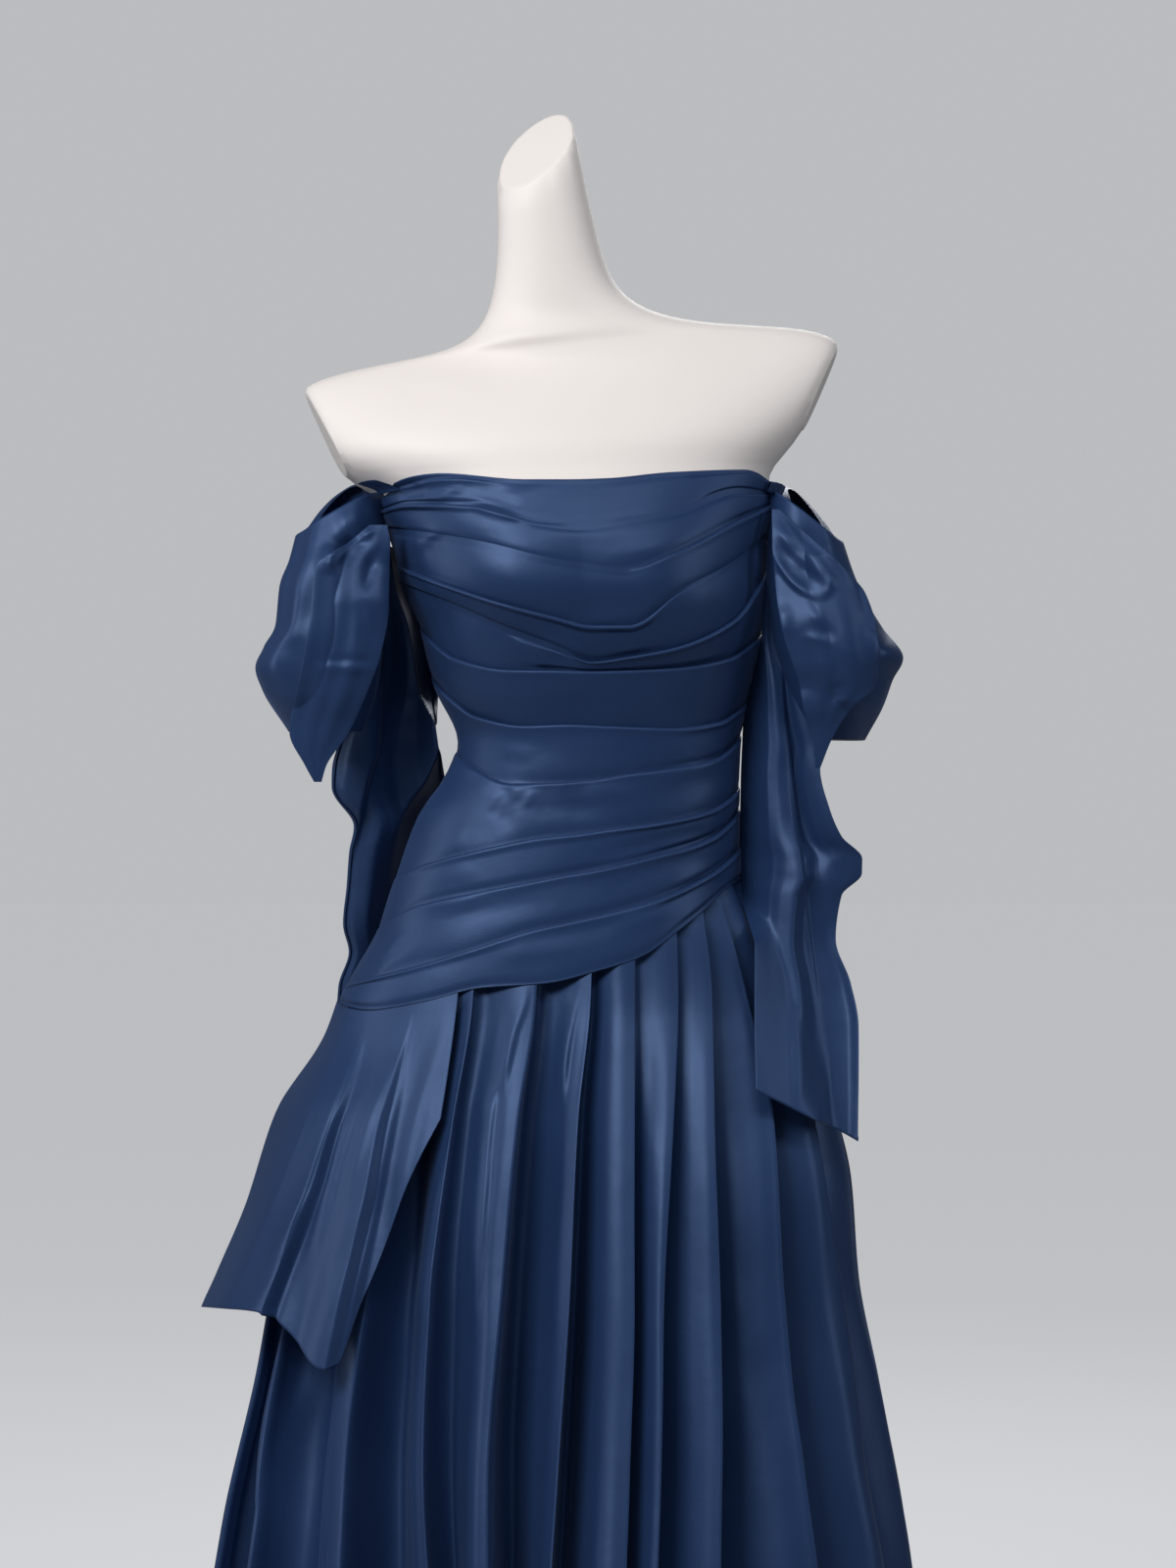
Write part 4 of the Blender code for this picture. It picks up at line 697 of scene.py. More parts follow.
# ---------------------------------------------------------------- small tools
def smooth(knots, values, at):
    """A smooth curve through the knots that doesn't overshoot them. at is a number or an array."""
    order = np.argsort(knots)
    knots = np.asarray(knots, float)[order]
    values = np.asarray(values, float)[order]
    step = np.diff(knots)
    rise = np.diff(values) / step
    slope = np.zeros(len(values))
    slope[0] = rise[0]
    slope[-1] = rise[-1]
    product = rise[1:] * rise[:-1]
    total = rise[1:] + rise[:-1]
    same_way = product > 0
    slope[1:-1][same_way] = 2 * product[same_way] / total[same_way]
    at = np.clip(np.asarray(at, float), knots[0], knots[-1])
    i = np.clip(np.searchsorted(knots, at) - 1, 0, len(step) - 1)
    s = (at - knots[i]) / step[i]
    return (
        (1 + 2 * s) * (1 - s) ** 2 * values[i]
        + s * (1 - s) ** 2 * step[i] * slope[i]
        + s**2 * (3 - 2 * s) * values[i + 1]
        + s**2 * (s - 1) * step[i] * slope[i + 1]
    )


def column(table, index, at):
    """One column of a table, as a smooth curve over its first column."""
    return smooth([row[0] for row in table], [row[index] for row in table], at)


def eased(t):
    """0 before 0, 1 after 1, and a smooth step between."""
    t = np.clip(t, 0, 1)
    return t * t * (3 - 2 * t)


def power(value, exponent):
    """A power that keeps the sign."""
    return np.sign(value) * np.abs(value) ** exponent


def body_point(turn, z, out):
    """A point of the outline, moved out. turn is 0 at the left side, then front, then pi at the right."""
    turn, z, out = np.broadcast_arrays(np.asarray(turn, float), np.asarray(z, float), np.asarray(out, float))
    right, left = column(BODY, 1, z), column(BODY, 2, z)
    in_front = np.sin(turn) >= 0
    depth = np.where(in_front, column(BODY, 3, z), column(BODY, 4, z))
    wide = (left - right) / 2
    middle = (left + right) / 2
    across = power(np.cos(turn), 2 / ROUNDNESS)
    along = np.abs(power(np.sin(turn), 2 / ROUNDNESS))
    x = middle + (wide + out) * across
    apart = (np.abs(x - middle) - BUST["apart"]) / BUST["wide"]
    above = (z - BUST["height"]) / BUST["tall"]
    swell = np.where(in_front, BUST["stands_out"] * np.exp(-(apart**2) - above**2), 0)
    y = SEAM_GAP / 2 + (depth + out + swell - SEAM_GAP / 2) * along
    return np.stack([x, np.where(in_front, -y, y), z], axis=-1)


def turn_at(share):
    """The turn in front that is this share of the way from the right side to the left."""
    return np.arccos(np.clip(power(2 * np.asarray(share, float) - 1, ROUNDNESS / 2), -1, 1))


def turn_at_x(x, z, out=0.0):
    """The turn in front where the outline, moved out, has this x."""
    right, left = column(BODY, 1, z), column(BODY, 2, z)
    return turn_at((x - right + out) / (left - right + 2 * out))


def share_at(turn):
    """The share of the way from the right side to the left at a turn."""
    return (1 + power(np.cos(turn), 2 / ROUNDNESS)) / 2


def body_depth(x, z, out, column_index):
    """How far the outline, moved out, reaches in front (3) or behind (4) at this x; 0 beyond its sides."""
    right, left = column(BODY, 1, z), column(BODY, 2, z)
    u = np.clip(np.abs(2 * x - left - right) / (left - right + 2 * out), 0, 1)
    return (column(BODY, column_index, z) + out) * (1 - u**ROUNDNESS) ** (1 / ROUNDNESS)


def seam_height(turn):
    """Height of the waist seam at a turn, in front and behind."""
    share = share_at(turn)
    in_front = column(WAIST_SEAM, 1, share)
    behind = WAIST_SEAM[0][1] + (WAIST_SEAM[-1][1] - WAIST_SEAM[0][1]) * share
    return np.where(np.sin(turn) >= 0, in_front, behind)


def normals_of(grid, closed):
    """Unit normals at the points of a grid, from its rows and columns."""
    down = np.gradient(grid, axis=0)
    if closed:
        along = np.roll(grid, -1, axis=1) - np.roll(grid, 1, axis=1)
    else:
        ahead = np.diff(grid, axis=1)
        unit = ahead / np.maximum(np.linalg.norm(ahead, axis=2, keepdims=True), 1e-9)
        along = np.concatenate([unit[:, :1], unit[:, 1:] + unit[:, :-1], unit[:, -1:]], axis=1)
    normal = np.cross(down, along)
    return normal / np.maximum(np.linalg.norm(normal, axis=2, keepdims=True), 1e-12)


# ---------------------------------------------------------------- small tools for the fine form
def outward(turn, z, out):
    """The way off the body at a place, as unit vectors."""
    step = body_point(turn, z, out + 0.001) - body_point(turn, z, out)
    return step / np.linalg.norm(step, axis=-1, keepdims=True)


def seen_at(points):
    """x and height where the photograph's camera sees these points, on the plane through the middle."""
    nearer = CAMERA["distance"] / (CAMERA["distance"] + points[..., 1])
    x = CAMERA["x"] + (points[..., 0] - CAMERA["x"]) * nearer
    return x, CAMERA["height"] + (points[..., 2] - CAMERA["height"]) * nearer


def true_place(seen, middle, depth):
    """The x or height of a place this far in front of the middle plane that is seen there."""
    return middle + (seen - middle) * (1 - depth / CAMERA["distance"])


def lifted(plain, turn, z, lift):
    """A surface moved off the body by lift, in metres."""
    return plain + outward(turn, z, 0.0) * lift[..., None]


def crease_height(points, creases, facing):
    """How far the creases move each point, in metres, where facing is above 0."""
    x, z = seen_at(points)
    total = np.zeros(x.shape)
    for x0, z0, x1, z1, bow, half_width, height, sharp in creases:
        half_width = half_width * CREASES["width"]
        long = np.hypot(x1 - x0, z1 - z0)
        along = ((x - x0) * (x1 - x0) + (z - z0) * (z1 - z0)) / long**2
        off = ((z - z0) * (x1 - x0) - (x - x0) * (z1 - z0)) / long * np.sign(x1 - x0 or 1)
        off = off - bow * 4 * np.clip(along, 0, 1) * (1 - np.clip(along, 0, 1))
        width = np.where(off < 0, half_width * sharp, half_width)
        ends = np.sin(pi / 2 * np.clip(np.minimum(along, 1 - along) / CREASES["taper"], 0, 1)) ** 2
        total = total + height / 1000 * CREASES["height"] * np.exp(-((off / width) ** 2)) * ends
    return total * np.clip(facing * 3, 0, 1)


def ripple(u, v, seed, wave_u, wave_v, height):
    """Soft uneven waves over a cloth, from a few seeded sines with these wavelengths."""
    dice = np.random.default_rng(seed)
    total = np.zeros(np.broadcast(u, v).shape)
    for _ in range(8):
        fu, fv = dice.uniform(-1.3, 1.3) / wave_u, dice.uniform(-1.3, 1.3) / wave_v
        total = total + np.sin(tau * (fu * u + fv * v) + dice.uniform(0, tau)) * dice.uniform(0.4, 1)
    return total * height / 2.5


def turned_rows(grid):
    """The grid with its last row turned under like a hem."""
    edge, before = grid[-1], grid[-3]
    back = before - edge
    back = back / np.maximum(np.linalg.norm(back, axis=-1, keepdims=True), 1e-9)
    normal = normals_of(grid, False)[-1]
    rows = [edge + side * normal + away * back for side, away in TURNED_EDGE]
    return np.concatenate([grid, np.array(rows)], axis=0)


def with_turned_edges(grid, inward, edges):
    """Turns the named edges under. inward is 1 or -1: which way along the normals is inside."""
    if inward < 0:
        grid = grid[:, ::-1]
        edges = [{"left": "right", "right": "left"}.get(edge, edge) for edge in edges]
    for edge in edges:
        if edge == "bottom":
            grid = turned_rows(grid)
        if edge == "top":
            grid = turned_rows(grid[::-1, ::-1])[::-1, ::-1]
        if edge == "right":
            grid = turned_rows(grid.transpose(1, 0, 2)[:, ::-1])[:, ::-1].transpose(1, 0, 2)
        if edge == "left":
            grid = turned_rows(grid.transpose(1, 0, 2)[::-1])[::-1].transpose(1, 0, 2)
    return grid[:, ::-1] if inward < 0 else grid


def lengths(grid, axis):
    """Distance walked along the grid's rows or columns."""
    steps = np.linalg.norm(np.diff(grid, axis=axis), axis=2)
    start = np.zeros_like(np.take(steps, [0], axis=axis))
    return np.concatenate([start, np.cumsum(steps, axis=axis)], axis=axis)


def sheet_mesh(name, grid, closed=False, flip=False):
    """A mesh of quads over a grid, with the cloth's own lengths as its UVs, in metres."""
    rows, count = grid.shape[:2]
    index = np.arange(rows * count).reshape(rows, count)
    right = np.roll(index, -1, axis=1) if closed else index[:, 1:]
    left = index if closed else index[:, :-1]
    quads = np.stack([left[:-1], right[:-1], right[1:], left[1:]], axis=-1).reshape(-1, 4)
    if flip:
        quads = quads[:, ::-1]
    mesh = bpy.data.meshes.new(name)
    mesh.from_pydata(grid.reshape(-1, 3).tolist(), [], quads.tolist())
    across, down = lengths(grid, 1).reshape(-1), lengths(grid, 0).reshape(-1)
    corners = quads.reshape(-1)
    uv = np.stack([across[corners], down[corners]], axis=-1)
    mesh.uv_layers.new(name="cloth").data.foreach_set("uv", uv.reshape(-1).astype(np.float32))
    mesh.shade_smooth()
    return mesh


def placed(name, data):
    """A new object in the scene."""
    made = bpy.data.objects.new(name, data)
    bpy.context.scene.collection.objects.link(made)
    return made


def add_piece(name, mesh, finish, nodes, body="dress_on_form"):
    """Links a piece, gives it its finish, and lets it stand for its nodes."""
    piece = placed(name, mesh)
    mesh.materials.append(finish)
    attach(piece, body)
    if nodes:
        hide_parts(*nodes)
    return piece


def faces_out(grid, centre):
    """True if the grid's normals point away from an upright line through centre."""
    normal = normals_of(grid, False)
    away = grid[..., :2] - np.array(centre)
    return float((normal[..., :2] * away).sum()) > 0


def cloth(name, grid, finish, closed=False, edges=("bottom",), centre=(0, 0)):
    """A sheet of cloth with its free edges turned under, on the form of the solid of that name."""
    out = faces_out(grid, centre)
    if not closed:
        grid = with_turned_edges(grid, 1 if not out else -1, list(edges))
    mesh = sheet_mesh(name + "_cloth", grid, closed, flip=not out)
    piece = add_piece(name + "_cloth", mesh, finish, [name])
    return piece


# ---------------------------------------------------------------- bodice
def pleated(edges):
    """Heights and reliefs of fine rows through the folded edges, each (heights, reliefs) across the panel."""
    rows = []
    for (z0, relief0), (z1, relief1) in zip(edges, edges[1:]):
        drop = z0 - z1
        scale = np.clip(drop / PLEAT_WHOLE_DROP, 0.15, 1)
        under = np.clip(relief1 / PLEAT_FULL_FROM, 0, 1)
        last = 0
        for share, beyond, here, there in PLEAT_STEPS:
            if share == 1.0:
                plain = PLAIN_LAP["first"] + PLAIN_LAP["step"] * last
                last += 1
                beyond = beyond * under + plain * (1 - under)
            z = z0 - drop * share - beyond * scale
            slack = PLEAT_SLACK * 4 * share * (1 - share)
            rows.append((z, relief0 * here + relief1 * there + slack))
    rows.append(edges[-1])
    z = np.array([row[0] for row in rows])
    return z, np.array([row[1] for row in rows])


def side_fade(turn):
    """How much of its relief a pleat keeps: it lies flatter towards the side seams."""
    return SIDE_FADE["least"] + (1 - SIDE_FADE["least"]) * eased(np.abs(np.sin(turn)) / SIDE_FADE["over"])


def seen_height(turn, z):
    """The true height of a line across the front that is seen at z."""
    return true_place(z, CAMERA["height"], -body_point(turn, z, 0.0)[..., 1])


def bodice_front_cloth(finish):
    """The front panel, from side seam to side seam, with its pleats and creases."""
    turn = np.linspace(pi - 1e-6, 1e-6, BODICE_TURNS)
    share = share_at(turn)
    fade = side_fade(turn)
    top = seen_height(turn, smooth(PLEAT_ACROSS, TOP_EDGE, share))
    edges = [(top, np.full(BODICE_TURNS, TOP_EDGE_RELIEF))]
    for _, heights, stands_out in PLEATS:
        relief = smooth(PLEAT_ACROSS, stands_out, share) / 1000 * fade * PLEAT_FULLNESS
        edges.append((seen_height(turn, smooth(PLEAT_ACROSS, heights, share)), relief))
    edges.append((seam_height(turn) + RIM_GAP, np.full(BODICE_TURNS, SEAM_RELIEF)))
    z, relief = pleated(edges)
    turns = np.broadcast_to(turn, z.shape)
    plain = body_point(turns, z, BODICE_OUTSIDE + relief)
    lift = crease_height(plain, BODICE_CREASES, np.sin(turns) + 0.3)
    lift = (lift + ripple(plain[..., 0], plain[..., 2] * 3, SEEDS["bodice_front"], *WAVES["bodice"])) * fade
    grid = lifted(plain, turns, z, np.maximum(lift, -DEEPEST - relief))
    cloth("bodice_front", grid, finish, edges=("top",))


def bodice_back_cloth(name, side_turn, finish):
    """A back panel, from its side seam to the zip. Its top and seams are found step by step."""
    even = np.linspace(0, 1, BACK_TURNS)
    aside = -ZIP["cloth_gap"] if side_turn < 1.5 * pi else ZIP["cloth_gap"]
    names = [pleat for pleat in PLEATS if pleat[0] in BACK_PLEATS]
    z = np.full((len(PLEAT_STEPS) * (len(names) + 1) + 1, BACK_TURNS), 1.1)
    for _ in range(6):
        edge = tau - turn_at_x(column(ZIP_LINE, 1, z[:, -1:]) + aside, z[:, -1:])
        turns = side_turn + (edge - side_turn) * even
        turn = turns.mean(axis=0)
        share = share_at(turn)
        side = BACK_TOP["side"] if share[0] < 0.5 else BACK_TOP["other_side"]
        top = side + (BACK_TOP["centre"] - side) * np.abs(np.sin(turn))
        edges = [(top, np.full(BACK_TURNS, BACK_EDGE_RELIEF))]
        for _, heights, _ in names:
            across = heights[0] + (heights[-1] - heights[0]) * share
            edges.append((across, np.full(BACK_TURNS, BACK_PLEAT_STANDS_OUT) * side_fade(turn)))
        edges.append((seam_height(turn) + RIM_GAP, np.full(BACK_TURNS, BACK_EDGE_RELIEF)))
        z, relief = pleated(edges)
    plain = body_point(turns, z, BODICE_OUTSIDE + relief)
    lift = crease_height(plain, BACK_CREASES, -np.sin(turns) + 0.3)
    lift = lift + ripple(plain[..., 0], plain[..., 2] * 3, SEEDS["bodice_back"], *WAVES["bodice"])
    lift = lift * np.clip((1 - even) / 0.08, 0, 1)
    grid = lifted(plain, turns, z, np.maximum(lift, -DEEPEST - relief))
    cloth(name, grid, finish, edges=("top", "right"))


# ---------------------------------------------------------------- skirt
def fold_x(index, z):
    """x of a free fold at each height. The two sides stand in before the first and after the last."""
    if index < 0:
        return column(BODY, 1, z)
    if index >= len(SKIRT_PLEATS):
        return column(BODY, 2, z)
    x = smooth(PLEAT_HEIGHTS, SKIRT_PLEATS[index], z)
    return true_place(x, CAMERA["x"], body_depth(x, z, 0.0, 3))


def fold_steps(count):
    """Steps across a pleat: share of the width, share of the depth."""
    step = np.linspace(0, 1, count, endpoint=False)
    knots = [row[0] for row in FOLD_CURVE]
    return [smooth(knots, [row[i] for row in FOLD_CURVE], step) for i in (1, 2)]


def skirt_sway(points, turns, seed):
    """Long soft folds that run down the skirt, growing towards the hem."""
    down = np.clip((0.95 - points[..., 2]) / 0.9, 0, 1)
    around = turns * 0.25
    long = ripple(around, points[..., 2], seed, *WAVES["skirt_long"]) * down
    short = ripple(around, points[..., 2], seed + 1, *WAVES["skirt_short"]) * np.clip(down * 3, 0.15, 1)
    return long + short


def skirt_front_cloth(finish):
    """The front panel, pleat by pleat from the right side to the left."""
    share, depth_share = fold_steps(SKIRT_STEPS)
    rows = np.linspace(0, 1, SKIRT_LEVELS) ** 1.25
    turns, heights, depths = [], [], []
    for fold in range(-1, len(SKIRT_PLEATS)):
        shares = np.maximum(share, 0) if fold < 0 else share
        z = np.full((SKIRT_LEVELS, SKIRT_STEPS), WAIST_SEAM[0][1])
        for _ in range(SEAM_ROUNDS):
            x = fold_x(fold, z) * (1 - shares) + fold_x(fold + 1, z) * shares
            turn = turn_at_x(x, z)
            top = seam_height(turn[0])
            z = top + (HEM_HEIGHT - top) * rows[:, None]
        turns.append(turn)
        heights.append(z)
        shape = depth_share ** FOLD_RAMPS[fold + 1]
        depths.append(column(FINE_PLEAT_DEPTH, 1, z) * shape * FOLD_DEPTHS[fold + 1])
    turn, z, depth = np.hstack(turns), np.hstack(heights), np.hstack(depths)
    end = HEM_HEIGHT + (WAIST_SEAM[-1][1] - HEM_HEIGHT) * (1 - rows[:, None])
    turn = np.hstack([turn, np.full((SKIRT_LEVELS, 1), 1e-6)])
    z, depth = np.hstack([z, end]), np.hstack([depth, 0 * end])
    plain = body_point(turn, z, SKIRT_TOP - depth)
    sway = skirt_sway(plain, turn, SEEDS["skirt_front"])
    lift = sway + crease_height(plain, SKIRT_CREASES, np.ones(z.shape))
    lift = lift + tucks(plain, SKIRT_TUCKS)
    lift = lift * np.clip(np.sin(turn) * 6, 0, 1) * np.clip((z[0] - z) / 0.06, 0, 1)
    grid = lifted(plain, turn, z, lift)
    grid[:, (0, -1), 1] += SEAM_TUCK
    grid[:, 0, 0] += SEAM_TUCK
    grid[:, -1, 0] -= SEAM_TUCK
    cloth("skirt_front", grid, finish)


def skirt_back_cloth(finish):
    """The back panel, with even pleats round the back."""
    share, depth_share = fold_steps(SKIRT_STEPS // 2)
    rows = np.linspace(0, 1, SKIRT_LEVELS) ** 1.25
    folds = np.linspace(pi + 1e-6, tau - 1e-6, BACK_PLEAT_COUNT + 2)
    turn, depth_shares = [], []
    for k in range(BACK_PLEAT_COUNT + 1):
        shares = np.maximum(share, 0) if k == 0 else share
        turn.append(folds[k] + (folds[k + 1] - folds[k]) * shares)
        depth_shares.append(depth_share * BACK_FOLD_DEPTHS[k])
    turn = np.append(np.concatenate(turn), folds[-1])[None, :] + np.zeros((SKIRT_LEVELS, 1))
    depth_shares = np.append(np.concatenate(depth_shares), 0.0)
    top = seam_height(turn[0])
    z = top + (HEM_HEIGHT - top) * rows[:, None]
    plain = body_point(turn, z, SKIRT_TOP - column(FINE_PLEAT_DEPTH, 1, z) * depth_shares)
    sway = skirt_sway(plain, turn, SEEDS["skirt_back"])
    lift = sway + crease_height(plain, SKIRT_BACK_CREASES, np.ones(z.shape))
    lift = lift * np.clip(-np.sin(turn) * 6, 0, 1) * np.clip((z[0] - z) / 0.06, 0, 1)
    grid = lifted(plain, turn, z, lift)
    cloth("skirt_back", grid, finish)


def tucks(points, folds):
    """Folds whose edge is a line down the cloth: it rises softly to the edge, then drops at once."""
    x, z = seen_at(points)
    total = np.zeros(x.shape)
    for wide, steps in folds:
        heights = [step[0] for step in steps]
        aside = x - smooth(heights, [step[1] for step in steps], z)
        height = smooth(heights, [step[2] for step in steps], z) / 1000
        before = np.exp(-((np.minimum(aside, 0) / wide) ** 2))
        total = total + height * before * (1 - eased(aside / TUCK_DROP))
    return total


def hip_drape_cloth(finish):
    """The overlay on the right hip, with soft pleats and a hem that flares open."""
    rows, count = DRAPE_SIZE
    down = np.linspace(0, 1, rows)[:, None]
    lies_at = SKIRT_TOP + CLOTH + DRAPE_GAP
    front, behind = np.array(DRAPE_FRONT), np.array(DRAPE_BACK)
    knots = np.arange(len(front))
    place = np.linspace(0, len(front) - 1, count * 6 // 10)
    x_top, x_hem, z_hem, flare, stands = [smooth(knots, front[:, i], place) for i in range(5)]
    depth = body_depth(x_hem, z_hem, flare * column(DRAPE_FLARE, 1, z_hem), 3)
    x_hem = true_place(x_hem, CAMERA["x"], depth)
    z_hem = true_place(z_hem, CAMERA["height"], depth)
    free = eased(down / DRAPE_SEWN)
    z = np.full((rows, len(place)), WAIST_SEAM[0][1])
    x = x_top + (x_hem - x_top) * down**DRAPE_SPREAD
    for _ in range(SEAM_ROUNDS):
        loose = stands * (DRAPE_LOOSE_AT_SEAM + (1 - DRAPE_LOOSE_AT_SEAM) * down)
        out = lies_at + (loose + flare * column(DRAPE_FLARE, 1, z)) * free
        turn = turn_at_x(x, z, out)
        top = seam_height(turn[0])
        z = top + (z_hem - top) * down
    knots = np.arange(len(behind))
    place = np.linspace(0, len(behind) - 1, count - len(place) + 1)[1:]
    degrees, z_hem, flare = [smooth(knots, behind[:, i], place) for i in range(3)]
    turn_behind = np.broadcast_to(pi + np.radians(degrees), (rows, len(place)))
    top = seam_height(turn_behind[0])
    z_behind = top + (z_hem - top) * down
    out_behind = DRAPE_STANDS_OUT_BEHIND + flare * column(DRAPE_FLARE, 1, z_behind)
    out_behind = lies_at + out_behind * free
    turn, z = np.hstack([turn, turn_behind]), np.hstack([z, z_behind])
    out = np.hstack([out, out_behind])
    plain = body_point(turn, z, out)
    across = np.linspace(0, 1, turn.shape[1])
    waves = 0.5 - 0.5 * np.cos(tau * DRAPE_PLEATS["count"] * across ** DRAPE_PLEATS["wider"])
    soft = waves * DRAPE_PLEATS["height"] * down ** DRAPE_PLEATS["grows"]
    lift = soft + crease_height(plain, DRAPE_CREASES, np.sin(turn) + 0.5)
    lift = lift + tucks(plain, DRAPE_FOLDS) * np.clip(np.sin(turn) * 4 + 0.8, 0, 1) * free
    lift = lift + ripple(across * 0.35, plain[..., 2], SEEDS["hip_drape"], *WAVES["hip_drape"]) * down
    grid = lifted(plain, turn, z, lift)
    edges = ("bottom", "left", "right")
    cloth("hip_drape", grid, finish, edges=edges)


# ---------------------------------------------------------------- sleeves
def sleeve_cloth(name, table, rim_lift, creases, finish):
    """A puffed sleeve as a closed ring of cloth, gathered at both ends, with its creases in front."""
    count_rows, count = SLEEVE_SIZE
    angles = np.linspace(0, tau, count, endpoint=False)
    knots = np.arange(len(table))
    place = np.linspace(0, len(table) - 1, count_rows)
    rows = [smooth(knots, [row[i] for row in table], place)[:, None] for i in range(6)]
    out_x, out_z, in_x, in_z, front, behind = rows
    across = power(np.cos(angles), 2 / SLEEVE_ROUNDNESS)[None, :]
    along = power(np.sin(angles), 2 / SLEEVE_ROUNDNESS)[None, :]
    outward_share = (1 + across) / 2
    x = in_x + (out_x - in_x) * outward_share
    depth = np.where(along < 0, front, behind)
    z = in_z + (out_z - in_z) * outward_share
    down = np.linspace(0, 1, count_rows)[:, None]
    z = z + (1 - down) ** 2 * np.where(along < 0, rim_lift["front"], rim_lift["back"]) * along**2
    z = z + (1 - down) ** 3 * rim_lift["corner"] * (1 - outward_share) * np.abs(along) ** 0.6
    x = x - np.sign(out_x) * SLEEVE_LAP * (1 - outward_share) ** 2 * np.clip(-along * 2, 0, 1)
    swell = 0.3 * SLEEVE_GATHERS["height"] * np.sin(SLEEVE_GATHERS["count"] * angles + 2 * down)
    swell = swell + ripple(angles[None, :] * 0.07, down * 0.16, SEEDS[name], *WAVES["sleeve"])
    swell = swell * outward_share * np.sin(pi / 5 + down * 4 * pi / 5)
    side = np.sign(out_x)
    grid = np.stack([x + swell * across * side, depth * along + swell * along, z], axis=-1)
    lift = crease_height(grid, creases, -along + 0 * z)
    grid = grid - np.array([0, 1, 0]) * (lift * np.clip(-along * 2, 0, 1))[..., None]
    top_lips = [ring_in(grid[0], inward, -0.3 * inward) for inward in SLEEVE_LIPS]
    foot_lips = [ring_in(grid[-1], inward, 0.3 * inward) for inward in SLEEVE_LIPS[::-1]]
    grid = np.concatenate([np.array(top_lips), grid, np.array(foot_lips)], axis=0)
    centre = (float(x.mean()), 0.0)
    cloth(name, grid, finish, closed=True, centre=centre)


def ring_in(ring, inward, rise):
    """A ring of points moved towards its middle and up."""
    middle = ring.mean(axis=0)
    away = ring[:, :2] - middle[:2]
    away = away / np.linalg.norm(away, axis=1, keepdims=True)
    return np.column_stack([ring[:, :2] - away * inward, ring[:, 2] + rise])


def fan_cloth(name, table, under, creases, finish):
    """The panel that spreads from its knot over the front of the sleeve, with its creases."""
    count_rows, count = FAN_SIZE
    across = np.linspace(0, 1, count)[None, :]
    top, foot = table[0][0], table[-1][0]
    z = np.linspace(top, foot, count_rows)[:, None] + 0 * across
    one, other = column(table, 1, z), column(table, 2, z)
    x = one * (1 - across) + other * across
    width = np.abs(one - other)
    opened = np.minimum(1, (width / FAN_RIDGES["full_from_width"]) ** 2)
    ridge = -FAN_RIDGES["height"] * np.cos(tau * FAN_RIDGES["count"] * across) * opened * 0.15
    fall = FAN_CURVE * (2 * across - 1) ** 2 * opened
    clear = FINE_FAN_CLEARANCE * np.minimum(1, 0.4 + opened)
    y = np.minimum(column(table, 3, z) + fall, -sleeve_front(under, x, z) - clear) + ridge
    plain = np.stack([x, y, z], axis=-1)
    lift = crease_height(plain, creases, np.ones(z.shape))
    lift = lift + ripple(x, z, SEEDS[name], *WAVES["fan"]) * opened
    grid = plain - np.array([0, 1, 0]) * np.maximum(lift, 0.003 - clear)[..., None]
    cloth(name, grid, finish, edges=("left", "right"), centre=(0.0, 0.5))


def sleeve_front(table, x, z):
    """How far a sleeve reaches in front at this x and height, without its gathers."""
    heights = [-(row[1] + row[3]) / 2 for row in table]
    outer = smooth(heights, [row[0] for row in table], -z)
    inner = smooth(heights, [row[2] for row in table], -z)
    depth = smooth(heights, [row[4] for row in table], -z)
    u = np.clip(np.abs((2 * x - outer - inner) / (outer - inner)), 0, 1)
    return depth * (1 - u**SLEEVE_ROUNDNESS) ** (1 / SLEEVE_ROUNDNESS)


def fold_field(folds, down, across):
    """How far the cloth's folds move it, in metres, from a table of sections."""
    knots = [row[0] for row in folds]
    sections = [smooth(knots, [row[1][i] for row in folds], down) for i in range(len(TAIL_ACROSS))]
    return np.array([smooth(TAIL_ACROSS, section, across) for section in np.array(sections).T]) / 1000


